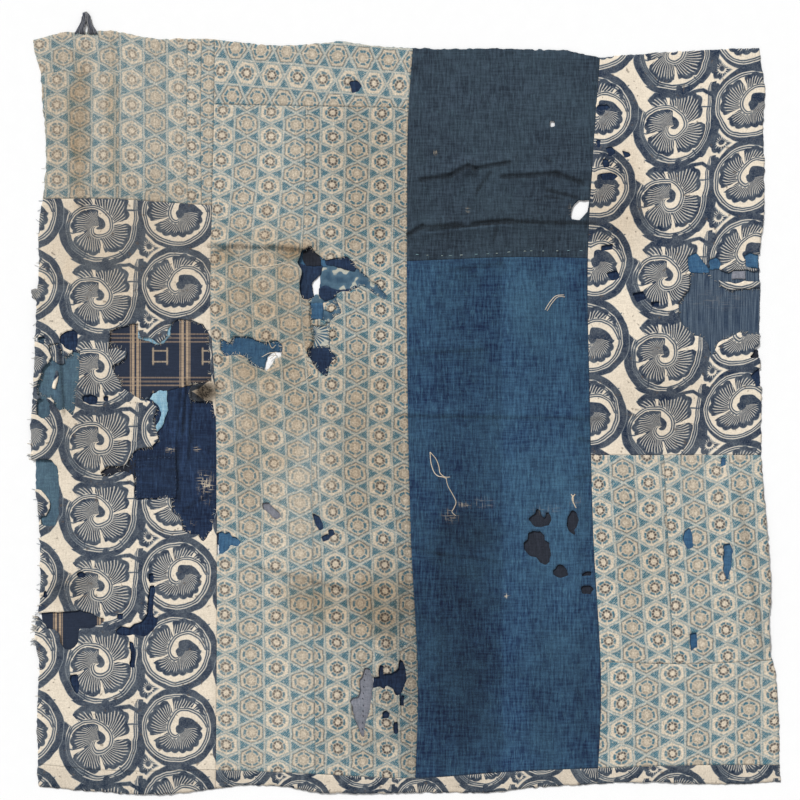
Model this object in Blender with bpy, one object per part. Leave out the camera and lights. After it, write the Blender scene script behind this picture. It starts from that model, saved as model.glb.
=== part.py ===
"""Boro patched cloth: a spread of hand-loomed cotton widths sewn edge to edge, with
scraps sewn on behind where the face has worn through.

The cloth lies face up on the floor, +Z up and +Y towards its upper edge. Outlines, seams
and tears are placed by points on the photograph, in pixels with x to the right and y down,
and PIXEL turns them to metres. Everything else is a real size in metres.
"""

import math

import bmesh
import bpy
import numpy as np

# Driving dimensions
LOOM_WIDTH = 0.320  # one hand-loomed width between its seams
LOOM_WIDTH_PIXELS = 183  # the plain indigo width, as the photograph shows it
PIXEL = LOOM_WIDTH / LOOM_WIDTH_PIXELS
FACE_CLOTH = 0.0014  # thickness of the face widths
SCRAP_CLOTH = 0.0010  # thickness of the scraps behind
GAP = 0.0003  # between any two pieces

# The scraps lie on the floor, so the face rides over them
LIFT_OVER_SCRAPS = SCRAP_CLOTH + GAP
LIFT_REACH = 34  # pixels round a scrap over which the face stays lifted
LIFT_FALL = 26  # pixels in which it then comes down to the floor

# Upright lines: (x, y) points down the photograph
UPRIGHT = {
    "left_edge": ((34, 40), (42, 90), (43, 150), (41, 205), (37, 300), (34, 385),
                  (31, 440), (37, 500), (40, 545), (39, 650), (37, 790)),
    "strip_line_a": ((188, 38), (187, 110), (188, 205), (190, 400), (191, 790)),
    "strip_line_b": ((202, 39), (201, 110), (202, 205), (204, 400), (204, 790)),
    "seam_1": ((215, 40), (214, 120), (212, 205), (211, 320), (216, 400), (217, 560),
               (216, 790)),
    "seam_2": ((306, 44), (305, 200), (302, 300), (309, 385), (313, 520), (315, 700),
               (316, 790)),
    "seam_3": ((413, 47), (409, 100), (407, 235), (408, 420), (411, 540), (418, 690),
               (415, 790)),
    "seam_4": ((600, 57), (594, 140), (588, 250), (590, 410), (593, 530), (601, 700),
               (597, 790)),
    "seam_5": ((658, 53), (656, 300), (664, 455), (673, 662), (676, 790)),
    "right_edge": ((759, 50), (765, 95), (763, 200), (759, 280), (761, 430), (770, 595),
                   (774, 670), (779, 740), (779, 783)),
}
# Cells across from each upright line to the next
UPRIGHT_CELLS = (8, 1, 1, 5, 5, 10, 4, 5)

# Level lines: (x, y) points across the photograph
LEVEL = {
    "top_edge": ((34, 40), (60, 33), (90, 32), (120, 32), (150, 38), (210, 40), (270, 45), (345, 42),
                 (390, 48), (540, 50), (600, 57), (660, 53), (759, 48)),
    "level_1": ((34, 102), (235, 105), (410, 108), (765, 108)),
    "level_2": ((34, 199), (110, 199), (205, 205), (410, 204), (765, 204)),
    "level_3": ((34, 256), (408, 261), (520, 257), (590, 258), (765, 257)),
    "level_4": ((34, 450), (410, 453), (592, 455), (765, 455)),
    "level_5": ((34, 660), (410, 662), (602, 662), (690, 664), (775, 660)),
    "binding_seam": ((34, 764), (120, 771), (215, 770), (320, 774), (415, 778), (505, 772),
                     (600, 768), (700, 765), (780, 765)),
    "bottom_edge": ((34, 785), (75, 790), (150, 794), (250, 785), (340, 794), (480, 793),
                    (560, 786), (640, 783), (780, 781)),
}
# Cells down from each level line to the next
LEVEL_CELLS = (3, 8, 5, 10, 10, 5, 1)

# The face: each piece lies between two upright and two level lines
# name: (left, right, top, bottom, material)
FACE_PIECES = {
    "kikko_top_left": ("left_edge", "strip_line_a", "top_edge", "level_2", "kikko"),
    "kikko_strip_outer": ("strip_line_a", "strip_line_b", "top_edge", "level_2", "kikko"),
    "kikko_strip_inner": ("strip_line_b", "seam_1", "top_edge", "level_2", "kikko"),
    "karakusa_left": ("left_edge", "seam_1", "level_2", "binding_seam", "karakusa"),
    "kikko_turned_top": ("seam_1", "seam_3", "top_edge", "level_1", "kikko"),
    "kikko_centre_left": ("seam_1", "seam_2", "level_1", "binding_seam", "kikko"),
    "kikko_centre_right": ("seam_2", "seam_3", "level_1", "binding_seam", "kikko"),
    "plain_dark_top": ("seam_3", "seam_4", "top_edge", "level_3", "plain_dark"),
    "plain_indigo": ("seam_3", "seam_4", "level_3", "binding_seam", "plain_indigo"),
    "karakusa_right": ("seam_4", "right_edge", "top_edge", "level_4", "karakusa"),
    "kikko_right_inner": ("seam_4", "seam_5", "level_4", "level_5", "kikko"),
    "kikko_right_outer": ("seam_5", "right_edge", "level_4", "level_5", "kikko"),
    "kikko_right_low": ("seam_4", "right_edge", "level_5", "binding_seam", "kikko"),
    "binding_left": ("left_edge", "strip_line_a", "binding_seam", "bottom_edge", "binding"),
    "binding_middle": ("strip_line_a", "seam_4", "binding_seam", "bottom_edge", "binding"),
    "binding_right": ("seam_4", "right_edge", "binding_seam", "bottom_edge", "binding"),
}

# Scraps sewn on behind, as rounded rectangles
# name: (centre x, centre y, half width, half height in pixels, turn in degrees, material)
SCRAPS = {
    "scrap_plaid": (161, 357, 52, 40, 0, "plaid"),
    "scrap_navy": (174, 472, 43, 74, 0, "navy"),
    "scrap_sky_upper": (60, 378, 24, 43, 0, "sky"),
    "scrap_sky_lower": (50, 490, 14, 38, 0, "sky"),
    "scrap_blue_left": (248, 351, 32, 20, 0, "mid_blue"),
    "scrap_print_mixed": (336, 270, 37, 30, 0, "faded_print"),
    "scrap_navy_long": (322, 341, 21, 40, 0, "navy"),
    "scrap_blue_small": (240, 542, 21, 14, 0, "mid_blue"),
    "scrap_plaid_low": (73, 628, 32, 31, 0, "plaid"),
    "scrap_navy_low": (134, 628, 27, 46, 0, "navy"),
    "scrap_grey_stripe": (710, 300, 49, 46, 0, "grey_stripe"),
    "scrap_navy_right": (389, 684, 16, 31, 0, "navy"),
    "scrap_mauve": (353, 720, 18, 34, 0, "mauve"),
    "scrap_brown": (541, 536, 24, 33, 0, "brown_black"),
    "scrap_brown_small": (579, 552, 13, 46, 0, "brown_black"),
    "scrap_blue_right": (707, 588, 32, 70, 0, "mid_blue"),
}

# One patch sewn on top of a scrap, in a worn place of the face, laid out as the scraps are
OVER_PATCH = {
    "over_patch_navy": (157, 474, 18.5, 23.5, 0, "navy"),
}

# Worn places cut through the face, as rounded outlines
# (face piece, centre x, centre y, half width, half height in pixels, turn in degrees)
WORN_PLACES = (
    ("karakusa_left", 163, 358, 48, 34, 0),
    ("karakusa_left", 196, 465, 17, 70, 0),
    ("karakusa_left", 157, 474, 21, 26, 0),
    ("karakusa_left", 160, 425, 17, 28, -32),
    ("karakusa_left", 61, 378, 16, 36, -14),
    ("karakusa_left", 50, 490, 9, 29, 0),
    ("karakusa_left", 72, 619, 31, 14, 4),
    ("karakusa_left", 142, 612, 10, 24, -35),
    ("kikko_centre_left", 248, 351, 27, 11, -14),
    ("kikko_centre_left", 229, 542, 9, 9, 0),
    ("kikko_centre_right", 337, 266, 28, 18, -22),
    ("kikko_centre_right", 324, 336, 11, 36, 0),
    ("kikko_centre_right", 388, 681, 13, 14, 0),
    ("kikko_centre_right", 359, 715, 10, 28, 8),
    ("plain_dark_top", 580, 209, 7.5, 9, -30),
    ("plain_indigo", 537, 543, 11, 17, 20),
    ("plain_indigo", 541, 520, 10, 9, 0),
    ("plain_indigo", 573, 523, 5, 12, -10),
    ("karakusa_right", 715, 303, 44, 34, 0),
    ("kikko_right_outer", 688, 538, 4, 10, -15),
    ("kikko_right_outer", 727, 563, 4, 18, 12),
    ("tie_stub", 84.5, 28, 1.6, 1.8, 0),
)
ROUND_STEPS = 16  # points round a scrap or a worn place
SCRAP_SQUARENESS = 5.0  # 2 is an ellipse, and more comes nearer to a rectangle
WORN_SQUARENESS = 3.0
CUTTER_DEPTH = 0.06

# Folds that stand up from the cloth
# (from x, y, to x, y in pixels, height, half width in metres)
FOLDS = (
    (412, 181, 470, 168, 0.0055, 0.014),
    (462, 169, 512, 161, 0.0060, 0.014),
    (505, 176, 590, 172, 0.0050, 0.016),
    (408, 233, 452, 224, 0.0050, 0.014),
    (446, 226, 530, 221, 0.0040, 0.015),
    (440, 118, 560, 104, 0.0022, 0.026),
    (410, 414, 592, 417, 0.0026, 0.018),
    (410, 352, 478, 347, 0.0022, 0.018),
    (452, 272, 500, 266, 0.0022, 0.018),
    (470, 556, 500, 566, 0.0022, 0.018),
    (213, 246, 306, 250, 0.0034, 0.016),
    (300, 250, 312, 388, 0.0030, 0.016),
    (262, 566, 345, 588, 0.0026, 0.022),
    (78, 50, 84, 195, 0.0026, 0.020),
    (184, 392, 196, 466, 0.0035, 0.016),
    (36, 292, 44, 470, 0.0030, 0.016),
    (744, 500, 762, 640, 0.0034, 0.026),
    (620, 668, 622, 762, 0.0024, 0.018),
    (640, 300, 652, 420, 0.0022, 0.022),
    (120, 690, 205, 700, 0.0022, 0.024),
)
FOLD_TAPER = 0.16  # share of a fold's length in which it rises at either end

# Slow waves of cloth that doesn't lie quite flat: (across, down wavelength in metres, phase)
WAVES = ((0.41, 0.93, 0.4), (0.97, 0.37, 2.1), (0.29, 0.52, 4.0))
WAVE_HEIGHT = 0.0022
WAVE_LEVEL = 0.55  # waves below this share of their height lie flat on the floor

# The stub of a tie at the upper edge: two roots that meet in a frayed head
STUB_ROOT = (87, 32)
STUB_HEAD = (86, 11.5)
STUB_ROOT_HALF_WIDTH = 0.0185
STUB_HEAD_HALF_WIDTH = 0.0055
STUB_HALF_THICKNESS = 0.0026
STUB_STRANDS = 9  # ridges across its width
STUB_STRAND_DEPTH = 0.22
STUB_RINGS = 12
STUB_SIDES = 40

# Colour (sRGB hex), roughness
MATERIALS = {
    "kikko": ("A9ADA4", 0.9),
    "karakusa": ("7E828A", 0.9),
    "binding": ("6E7680", 0.9),
    "plain_dark": ("323D4C", 0.9),
    "plain_indigo": ("2B4C6E", 0.9),
    "plaid": ("3A3F52", 0.9),
    "navy": ("222F4D", 0.9),
    "sky": ("4F7188", 0.9),
    "mid_blue": ("2F5577", 0.9),
    "faded_print": ("5F7C8E", 0.9),
    "grey_stripe": ("465468", 0.9),
    "mauve": ("85859A", 0.9),
    "brown_black": ("2B2B36", 0.9),
    "stub": ("5B5F6C", 0.95),
}


def curve_through(points, at):
    """A smooth curve through the points: Hermite cubics whose slope at each point is the
    mean over its neighbours. It holds its end value past either end."""
    known, value = np.array(points, float).T
    at = np.clip(np.asarray(at, float), known[0], known[-1])
    slope = np.gradient(value, known)
    i = np.clip(np.searchsorted(known, at, side="right") - 1, 0, len(known) - 2)
    step = known[i + 1] - known[i]
    t = (at - known[i]) / step
    return (
        value[i] * (1 + 2 * t) * (1 - t) ** 2
        + value[i + 1] * t * t * (3 - 2 * t)
        + step * slope[i] * t * (1 - t) ** 2
        - step * slope[i + 1] * t * t * (1 - t)
    )


def stations(lines, cells):
    """Each grid line as (the line before it, the line after it, share of the way), and the
    number of the grid line that each named line is."""
    names = list(lines)
    rows = []
    number = {}
    for before, after, count in zip(names, names[1:], cells):
        number[before] = len(rows)
        rows += [(before, after, k / count) for k in range(count)]
    number[names[-1]] = len(rows)
    rows.append((names[-2], names[-1], 1.0))
    return rows, number


def across(station, y):
    """x of an upright grid line at height y, in pixels."""
    before, after, share = station
    left, right = (
        curve_through([(py, px) for px, py in UPRIGHT[name]], y) for name in (before, after)
    )
    return left + (right - left) * share


def down(station, x):
    """y of a level grid line at place x, in pixels."""
    before, after, share = station
    upper, lower = (curve_through(LEVEL[name], x) for name in (before, after))
    return upper + (lower - upper) * share


def cloth_grid(columns, rows):
    """Pixels (x, y) where every upright grid line meets every level one."""
    place = np.zeros((len(columns), len(rows), 2))
    for j, row in enumerate(rows):
        x = np.array([across(column, 400) for column in columns])
        for _ in range(3):  # each line's place depends on the other's
            y = down(row, x)
            x = np.array([across(column, y[i]) for i, column in enumerate(columns)])
        place[:, j, 0] = x
        place[:, j, 1] = down(row, x)
    return place


def smooth(t):
    t = np.clip(t, 0, 1)
    return t * t * (3 - 2 * t)


def fold_height(x, y, fold):
    """Height of one fold at pixels (x, y): a bell across it, tapered at its two ends."""
    x0, y0, x1, y1, height, half_width = fold
    run = np.array([x1 - x0, y1 - y0], float)
    long = math.hypot(*run)
    along = ((x - x0) * run[0] + (y - y0) * run[1]) / long**2
    aside = ((x - x0) * run[1] - (y - y0) * run[0]) / long * PIXEL
    ends = smooth((along + FOLD_TAPER) / FOLD_TAPER) * smooth((1 + FOLD_TAPER - along) / FOLD_TAPER)
    return height * ends * np.exp(-((aside / half_width) ** 2))


def face_height(x, y):
    """Height of the face cloth's underside over the floor, in metres, at pixels (x, y)."""
    lift = np.zeros_like(x)
    for px, py, half_width, half_height, _, _ in SCRAPS.values():
        past = np.maximum(abs(x - px) - half_width, abs(y - py) - half_height)
        lift = np.maximum(lift, smooth((LIFT_REACH + LIFT_FALL - past) / LIFT_FALL))
    wave = sum(
        np.sin(2 * math.pi * PIXEL * (x / wide + y / tall) + phase) for wide, tall, phase in WAVES
    ) / len(WAVES)
    waves = WAVE_HEIGHT * np.clip((wave - WAVE_LEVEL + 0.5) / 1.2, 0, 1) ** 1.5
    folds = sum(fold_height(x, y, fold) for fold in FOLDS)
    folds = np.where(folds > 0.0002, folds, 0)
    return np.maximum(lift * LIFT_OVER_SCRAPS, 0) + waves + folds


def to_metres(x, y):
    """Row-frame x and y, in metres, of a pixel, before the cloth is centred."""
    return x * PIXEL, -y * PIXEL


def material(name):
    """The material of this name, made once."""
    if name in bpy.data.materials:
        return bpy.data.materials[name]
    made = bpy.data.materials.new(name)
    made.use_nodes = True
    hex_colour, roughness = MATERIALS[name]
    srgb = [int(hex_colour[k:k + 2], 16) / 255 for k in (0, 2, 4)]
    shader = made.node_tree.nodes["Principled BSDF"]
    shader.inputs["Base Color"].default_value = (*[c**2.2 for c in srgb], 1)
    shader.inputs["Roughness"].default_value = roughness
    return made


def add_object(name, shape, finish, collection, parent):
    """A named object from a bmesh, in a collection, under the empty that centres the cloth."""
    mesh = bpy.data.meshes.new(name)
    shape.to_mesh(mesh)
    shape.free()
    if finish:
        mesh.materials.append(material(finish))
    made = bpy.data.objects.new(name, mesh)
    made.parent = parent
    collection.objects.link(made)
    return made


def face_piece(place, height):
    """A flat grid moved on to the cloth's own grid, then drawn up to the cloth's thickness.
    place holds pixels, and height the underside in metres."""
    cells_across, cells_down = place.shape[0] - 1, place.shape[1] - 1
    shape = bmesh.new()
    bmesh.ops.create_grid(shape, x_segments=cells_across, y_segments=cells_down, size=0.5)
    for point in shape.verts:
        i = round((point.co.x + 0.5) * cells_across)
        j = round((0.5 - point.co.y) * cells_down)
        x, y = to_metres(*place[i, j])
        x += GAP / 2 * ((i == 0) - (i == cells_across))
        y += GAP / 2 * ((j == cells_down) - (j == 0))
        point.co = (x, y, height[i, j])
    drawn = bmesh.ops.extrude_face_region(shape, geom=shape.faces[:])
    upper = [part for part in drawn["geom"] if isinstance(part, bmesh.types.BMVert)]
    bmesh.ops.translate(shape, verts=upper, vec=(0, 0, FACE_CLOTH))
    bmesh.ops.recalc_face_normals(shape, faces=shape.faces)
    return shape


def rounded_slab(x, y, half_width, half_height, turn, squareness, low, high):
    """A flat slab with a superellipse outline, |u|^n + |v|^n = 1, from low to high."""
    shape = bmesh.new()
    bmesh.ops.create_cone(
        shape, cap_ends=True, segments=ROUND_STEPS, radius1=1, radius2=1, depth=1
    )
    centre_x, centre_y = to_metres(x, y)
    for point in shape.verts:
        angle = math.atan2(point.co.y, point.co.x)
        u, v = (
            half * PIXEL * math.copysign(abs(part) ** (2 / squareness), part)
            for half, part in ((half_width, math.cos(angle)), (half_height, math.sin(angle)))
        )
        c, s = math.cos(math.radians(turn)), math.sin(math.radians(turn))
        z = high if point.co.z > 0 else low
        point.co = (centre_x + u * c - v * s, centre_y + u * s + v * c, z)
    return shape


def tie_stub():
    """A flattened, ridged bundle that narrows from its two roots to a frayed head: a stack
    of elliptical rings, each with STUB_STRANDS ridges round it."""
    shape = bmesh.new()
    bmesh.ops.create_uvsphere(shape, u_segments=STUB_SIDES, v_segments=STUB_RINGS, radius=1)
    root_x, root_y = to_metres(*STUB_ROOT)
    head_x, head_y = to_metres(*STUB_HEAD)
    for point in shape.verts:
        share = (point.co.z + 1) / 2
        swell = math.sqrt(max(0.0, 1 - (2 * share - 1) ** 6))
        angle = math.atan2(point.co.y, point.co.x)
        if math.hypot(point.co.x, point.co.y) < 1e-6:
            swell = 0.0
        half_width = STUB_ROOT_HALF_WIDTH + (STUB_HEAD_HALF_WIDTH - STUB_ROOT_HALF_WIDTH) * share
        ridge = 1 - STUB_STRAND_DEPTH * (0.5 - 0.5 * math.cos(2 * STUB_STRANDS * angle))
        x = root_x + (head_x - root_x) * share - half_width * swell * math.cos(angle)
        y = root_y + (head_y - root_y) * share
        z = STUB_HALF_THICKNESS * (1 + swell * ridge * math.sin(angle))
        point.co = (x, y, z)
    return shape


def cut(target, cutter):
    """Takes the cutter away from the target."""
    cutting = target.modifiers.new("cut " + cutter.name, "BOOLEAN")
    cutting.operation = "DIFFERENCE"
    cutting.object = cutter


def main():
    for old in list(bpy.data.objects):
        bpy.data.objects.remove(old)
    cloth = bpy.data.collections.new("boro patched cloth")
    cutters = bpy.data.collections.new("cutters")
    for collection in (cloth, cutters):
        bpy.context.scene.collection.children.link(collection)
    centre = bpy.data.objects.new("centre", None)
    cloth.objects.link(centre)

    columns, column_number = stations(UPRIGHT, UPRIGHT_CELLS)
    rows, row_number = stations(LEVEL, LEVEL_CELLS)
    place = cloth_grid(columns, rows)
    height = face_height(place[:, :, 0], place[:, :, 1])
    made = {}
    for name, (left, right, top, bottom, finish) in FACE_PIECES.items():
        i = slice(column_number[left], column_number[right] + 1)
        j = slice(row_number[top], row_number[bottom] + 1)
        made[name] = add_object(name, face_piece(place[i, j], height[i, j]), finish, cloth, centre)
    for layer, low in ((SCRAPS, 0), (OVER_PATCH, LIFT_OVER_SCRAPS)):
        for name, (x, y, half_width, half_height, turn, finish) in layer.items():
            slab = rounded_slab(
                x, y, half_width, half_height, turn, SCRAP_SQUARENESS, low, low + SCRAP_CLOTH
            )
            made[name] = add_object(name, slab, finish, cloth, centre)
    made["tie_stub"] = add_object("tie_stub", tie_stub(), "stub", cloth, centre)
    for count, (name, x, y, half_width, half_height, turn) in enumerate(WORN_PLACES):
        slab = rounded_slab(
            x, y, half_width, half_height, turn, WORN_SQUARENESS, -CUTTER_DEPTH, CUTTER_DEPTH
        )
        cutter = add_object(f"worn place {count}", slab, None, cutters, centre)
        cutter.hide_render = True
        cutter.display_type = "WIRE"
        cut(made[name], cutter)

    corners = np.array(
        [point.co[:2] for piece in made.values() for point in piece.data.vertices]
    )
    middle = (corners.min(0) + corners.max(0)) / 2
    centre.location = (-middle[0], -middle[1], 0)


main()
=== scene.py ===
"""Boro patched cloth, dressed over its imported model.

Each width of the face is a sheet of its own with the photograph's outline, folds, creases
and ragged worn places, and the scraps lie behind in theirs. Prints, weaves, fading and
stains are node materials, and seams, frayed ends and loose threads are modelled. Places are
pixels of the photograph, x to the right and y down, and metres() turns them to the frame.
"""

import math

import bpy
import numpy as np
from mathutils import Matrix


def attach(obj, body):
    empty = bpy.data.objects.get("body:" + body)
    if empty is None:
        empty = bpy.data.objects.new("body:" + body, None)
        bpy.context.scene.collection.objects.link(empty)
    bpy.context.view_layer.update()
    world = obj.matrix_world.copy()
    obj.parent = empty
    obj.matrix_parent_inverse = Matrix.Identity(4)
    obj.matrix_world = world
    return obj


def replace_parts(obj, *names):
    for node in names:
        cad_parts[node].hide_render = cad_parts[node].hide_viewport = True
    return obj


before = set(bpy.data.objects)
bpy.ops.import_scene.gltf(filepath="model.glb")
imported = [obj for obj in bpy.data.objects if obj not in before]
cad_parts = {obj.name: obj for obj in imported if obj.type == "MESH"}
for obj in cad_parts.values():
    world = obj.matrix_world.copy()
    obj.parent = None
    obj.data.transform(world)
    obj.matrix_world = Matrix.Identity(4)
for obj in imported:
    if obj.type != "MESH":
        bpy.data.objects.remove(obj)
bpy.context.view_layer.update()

# Scale and layers, as in the part's source
PIXEL = 0.320 / 183  # metres in a pixel: a loom width of 320 mm spans 183 pixels
MIDDLE = (405.08, 403.51)  # the pixel over the frame's origin
FACE_CLOTH = 0.0014
SCRAP_CLOTH = 0.0010
LIFT_OVER_SCRAPS = 0.0013
LIFT_REACH = 34
LIFT_FALL = 26

# Making sizes
FACE_SHELL = 0.0009  # thickness given to a face sheet below its own surface
SCRAP_SHELL = 0.0006
LAP = 0.7  # pixels that a sheet runs under its neighbour at a seam
SEAM_REACH = 5.0  # pixels over which a sheet comes down to its seam
SEAM_DROP = 0.0005
RAGGED_EDGE = 0.55  # pixels of unevenness along an outer edge
RAGGED_HOLE = 0.8  # pixels of unevenness round a worn place
HOLE_GROWTH = 0.5  # pixels that a worn place is opened past its outline

# Upright lines: (x, y) points down the photograph
UPRIGHT = {
    "left_edge": (
        (33, 40), (35, 54), (39, 66), (41, 78), (42, 90), (43, 102), (43, 198), (40, 214),
        (39, 236), (39, 258), (38, 282), (37, 306), (36, 330), (35, 354), (34, 378),
        (33, 402), (31, 426), (31, 450), (33, 474), (35, 486), (37, 498), (38, 510),
        (40, 534), (40, 582), (39, 606), (36, 624), (35, 642), (39, 656), (38, 690),
        (37, 726), (38, 762), (37, 774), (40, 790),
    ),
    "strip_line_a": ((188, 38), (187, 110), (188, 205), (190, 400), (191, 790)),
    "strip_line_b": ((202, 39), (201, 110), (202, 205), (204, 400), (204, 790)),
    "seam_1": ((215, 40), (214, 120), (212, 205), (211, 320), (216, 400), (217, 560), (216, 790)),
    "seam_2": (
        (306, 44), (305, 200), (302, 300), (309, 385), (313, 520), (315, 700), (316, 790),
    ),
    "seam_3": (
        (413, 47), (409, 100), (407, 235), (408, 420), (411, 540), (418, 690), (415, 790),
    ),
    "seam_4": (
        (600, 57), (594, 140), (588, 250), (590, 410), (593, 530), (601, 700), (597, 790),
    ),
    "seam_5": ((658, 53), (656, 300), (664, 455), (673, 662), (676, 790)),
    "right_edge": (
        (759, 50), (761, 66), (763, 78), (765, 90), (765, 102), (763, 120), (764, 170),
        (763, 222), (760, 250), (759, 272), (760, 300), (760, 366), (761, 380), (761, 458),
        (763, 486), (766, 522), (769, 558), (770, 594), (769, 630), (771, 654), (774, 666),
        (777, 702), (779, 726), (779, 762), (780, 784),
    ),
}

# Level lines: (x, y) points across the photograph
LEVEL = {
    "top_edge": (
        (34, 40), (45, 37), (60, 33), (90, 32), (120, 32), (135, 35), (150, 38), (180, 39),
        (210, 39), (240, 43), (270, 45), (300, 45), (345, 42), (375, 46), (405, 48),
        (510, 49), (540, 50), (570, 51), (600, 57), (630, 55), (660, 53), (705, 50),
        (735, 49), (759, 48),
    ),
    "level_1": ((34, 102), (235, 105), (410, 108), (765, 108)),
    "level_2": ((34, 199), (110, 199), (205, 205), (410, 204), (765, 204)),
    "level_3": ((34, 256), (408, 261), (520, 257), (590, 258), (765, 257)),
    "level_4": ((34, 450), (410, 453), (592, 455), (765, 455)),
    "level_5": ((34, 660), (410, 662), (602, 662), (690, 664), (775, 660)),
    "binding_seam": (
        (34, 764), (120, 771), (215, 770), (320, 774), (415, 778), (505, 772), (600, 768),
        (700, 765), (780, 765),
    ),
    "bottom_edge": (
        (38, 786), (60, 788), (90, 791), (120, 793), (180, 793), (210, 789), (255, 785),
        (285, 786), (315, 792), (345, 793), (450, 792), (495, 792), (525, 788), (555, 786),
        (600, 783), (645, 782), (690, 783), (735, 784), (778, 781),
    ),
}
OUTER_LINES = ("left_edge", "right_edge", "top_edge", "bottom_edge")

# The face: name: (left, right, top, bottom, finish, cell in metres)
FACE_PIECES = {
    "kikko_top_left": ("left_edge", "strip_line_a", "top_edge", "level_2", "kikko", 0.0036),
    "kikko_strip_outer": ("strip_line_a", "strip_line_b", "top_edge", "level_2", "kikko", 0.0036),
    "kikko_strip_inner": ("strip_line_b", "seam_1", "top_edge", "level_2", "kikko", 0.0036),
    "karakusa_left": ("left_edge", "seam_1", "level_2", "binding_seam", "karakusa", 0.0027),
    "kikko_turned_top": ("seam_1", "seam_3", "top_edge", "level_1", "kikko", 0.0036),
    "kikko_centre_left": ("seam_1", "seam_2", "level_1", "binding_seam", "kikko", 0.0030),
    "kikko_centre_right": ("seam_2", "seam_3", "level_1", "binding_seam", "kikko", 0.0028),
    "plain_dark_top": ("seam_3", "seam_4", "top_edge", "level_3", "plain_dark", 0.0023),
    "plain_indigo": ("seam_3", "seam_4", "level_3", "binding_seam", "plain_indigo", 0.0034),
    "karakusa_right": ("seam_4", "right_edge", "top_edge", "level_4", "karakusa", 0.0030),
    "kikko_right_inner": ("seam_4", "seam_5", "level_4", "level_5", "kikko", 0.0036),
    "kikko_right_outer": ("seam_5", "right_edge", "level_4", "level_5", "kikko", 0.0034),
    "kikko_right_low": ("seam_4", "right_edge", "level_5", "binding_seam", "kikko", 0.0036),
    "binding_left": ("left_edge", "seam_1", "binding_seam", "bottom_edge", "binding", 0.0036),
    "binding_middle": ("seam_1", "seam_4", "binding_seam", "bottom_edge", "binding", 0.0036),
    "binding_right": ("seam_4", "right_edge", "binding_seam", "bottom_edge", "binding", 0.0036),
}

# Scraps of the part's source, over which the face is lifted: (x, y, half width, half height)
SCRAP_BOXES = (
    (161, 357, 52, 40), (174, 472, 43, 74), (60, 378, 24, 43), (50, 490, 14, 38),
    (248, 351, 32, 20), (336, 270, 37, 30), (322, 341, 21, 40), (240, 542, 21, 14),
    (73, 628, 32, 31), (134, 628, 27, 46), (710, 300, 49, 46), (389, 684, 16, 31),
    (353, 720, 18, 34), (541, 536, 24, 33), (579, 552, 13, 46), (707, 588, 32, 70),
)

# Folds: (from x, y, to x, y in pixels, height, half width in metres)
FOLDS = (
    (412, 181, 470, 168, 0.0055, 0.014), (462, 169, 512, 161, 0.0060, 0.014),
    (505, 176, 590, 172, 0.0050, 0.016), (408, 233, 452, 224, 0.0050, 0.014),
    (446, 226, 530, 221, 0.0040, 0.015), (440, 118, 560, 104, 0.0022, 0.026),
    (410, 414, 592, 417, 0.0026, 0.018), (410, 352, 478, 347, 0.0022, 0.018),
    (452, 272, 500, 266, 0.0022, 0.018), (470, 556, 500, 566, 0.0022, 0.018),
    (213, 246, 306, 250, 0.0034, 0.016), (300, 250, 312, 388, 0.0030, 0.016),
    (262, 566, 345, 588, 0.0026, 0.022), (78, 50, 84, 195, 0.0026, 0.020),
    (184, 392, 196, 466, 0.0035, 0.016), (36, 292, 44, 470, 0.0030, 0.016),
    (744, 500, 762, 640, 0.0034, 0.026), (620, 668, 622, 762, 0.0024, 0.018),
    (640, 300, 652, 420, 0.0022, 0.022), (120, 690, 205, 700, 0.0022, 0.024),
)
FOLD_TAPER = 0.16
WAVES = ((0.41, 0.93, 0.4), (0.97, 0.37, 2.1), (0.29, 0.52, 4.0))
WAVE_HEIGHT = 0.0022
WAVE_LEVEL = 0.55

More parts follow.
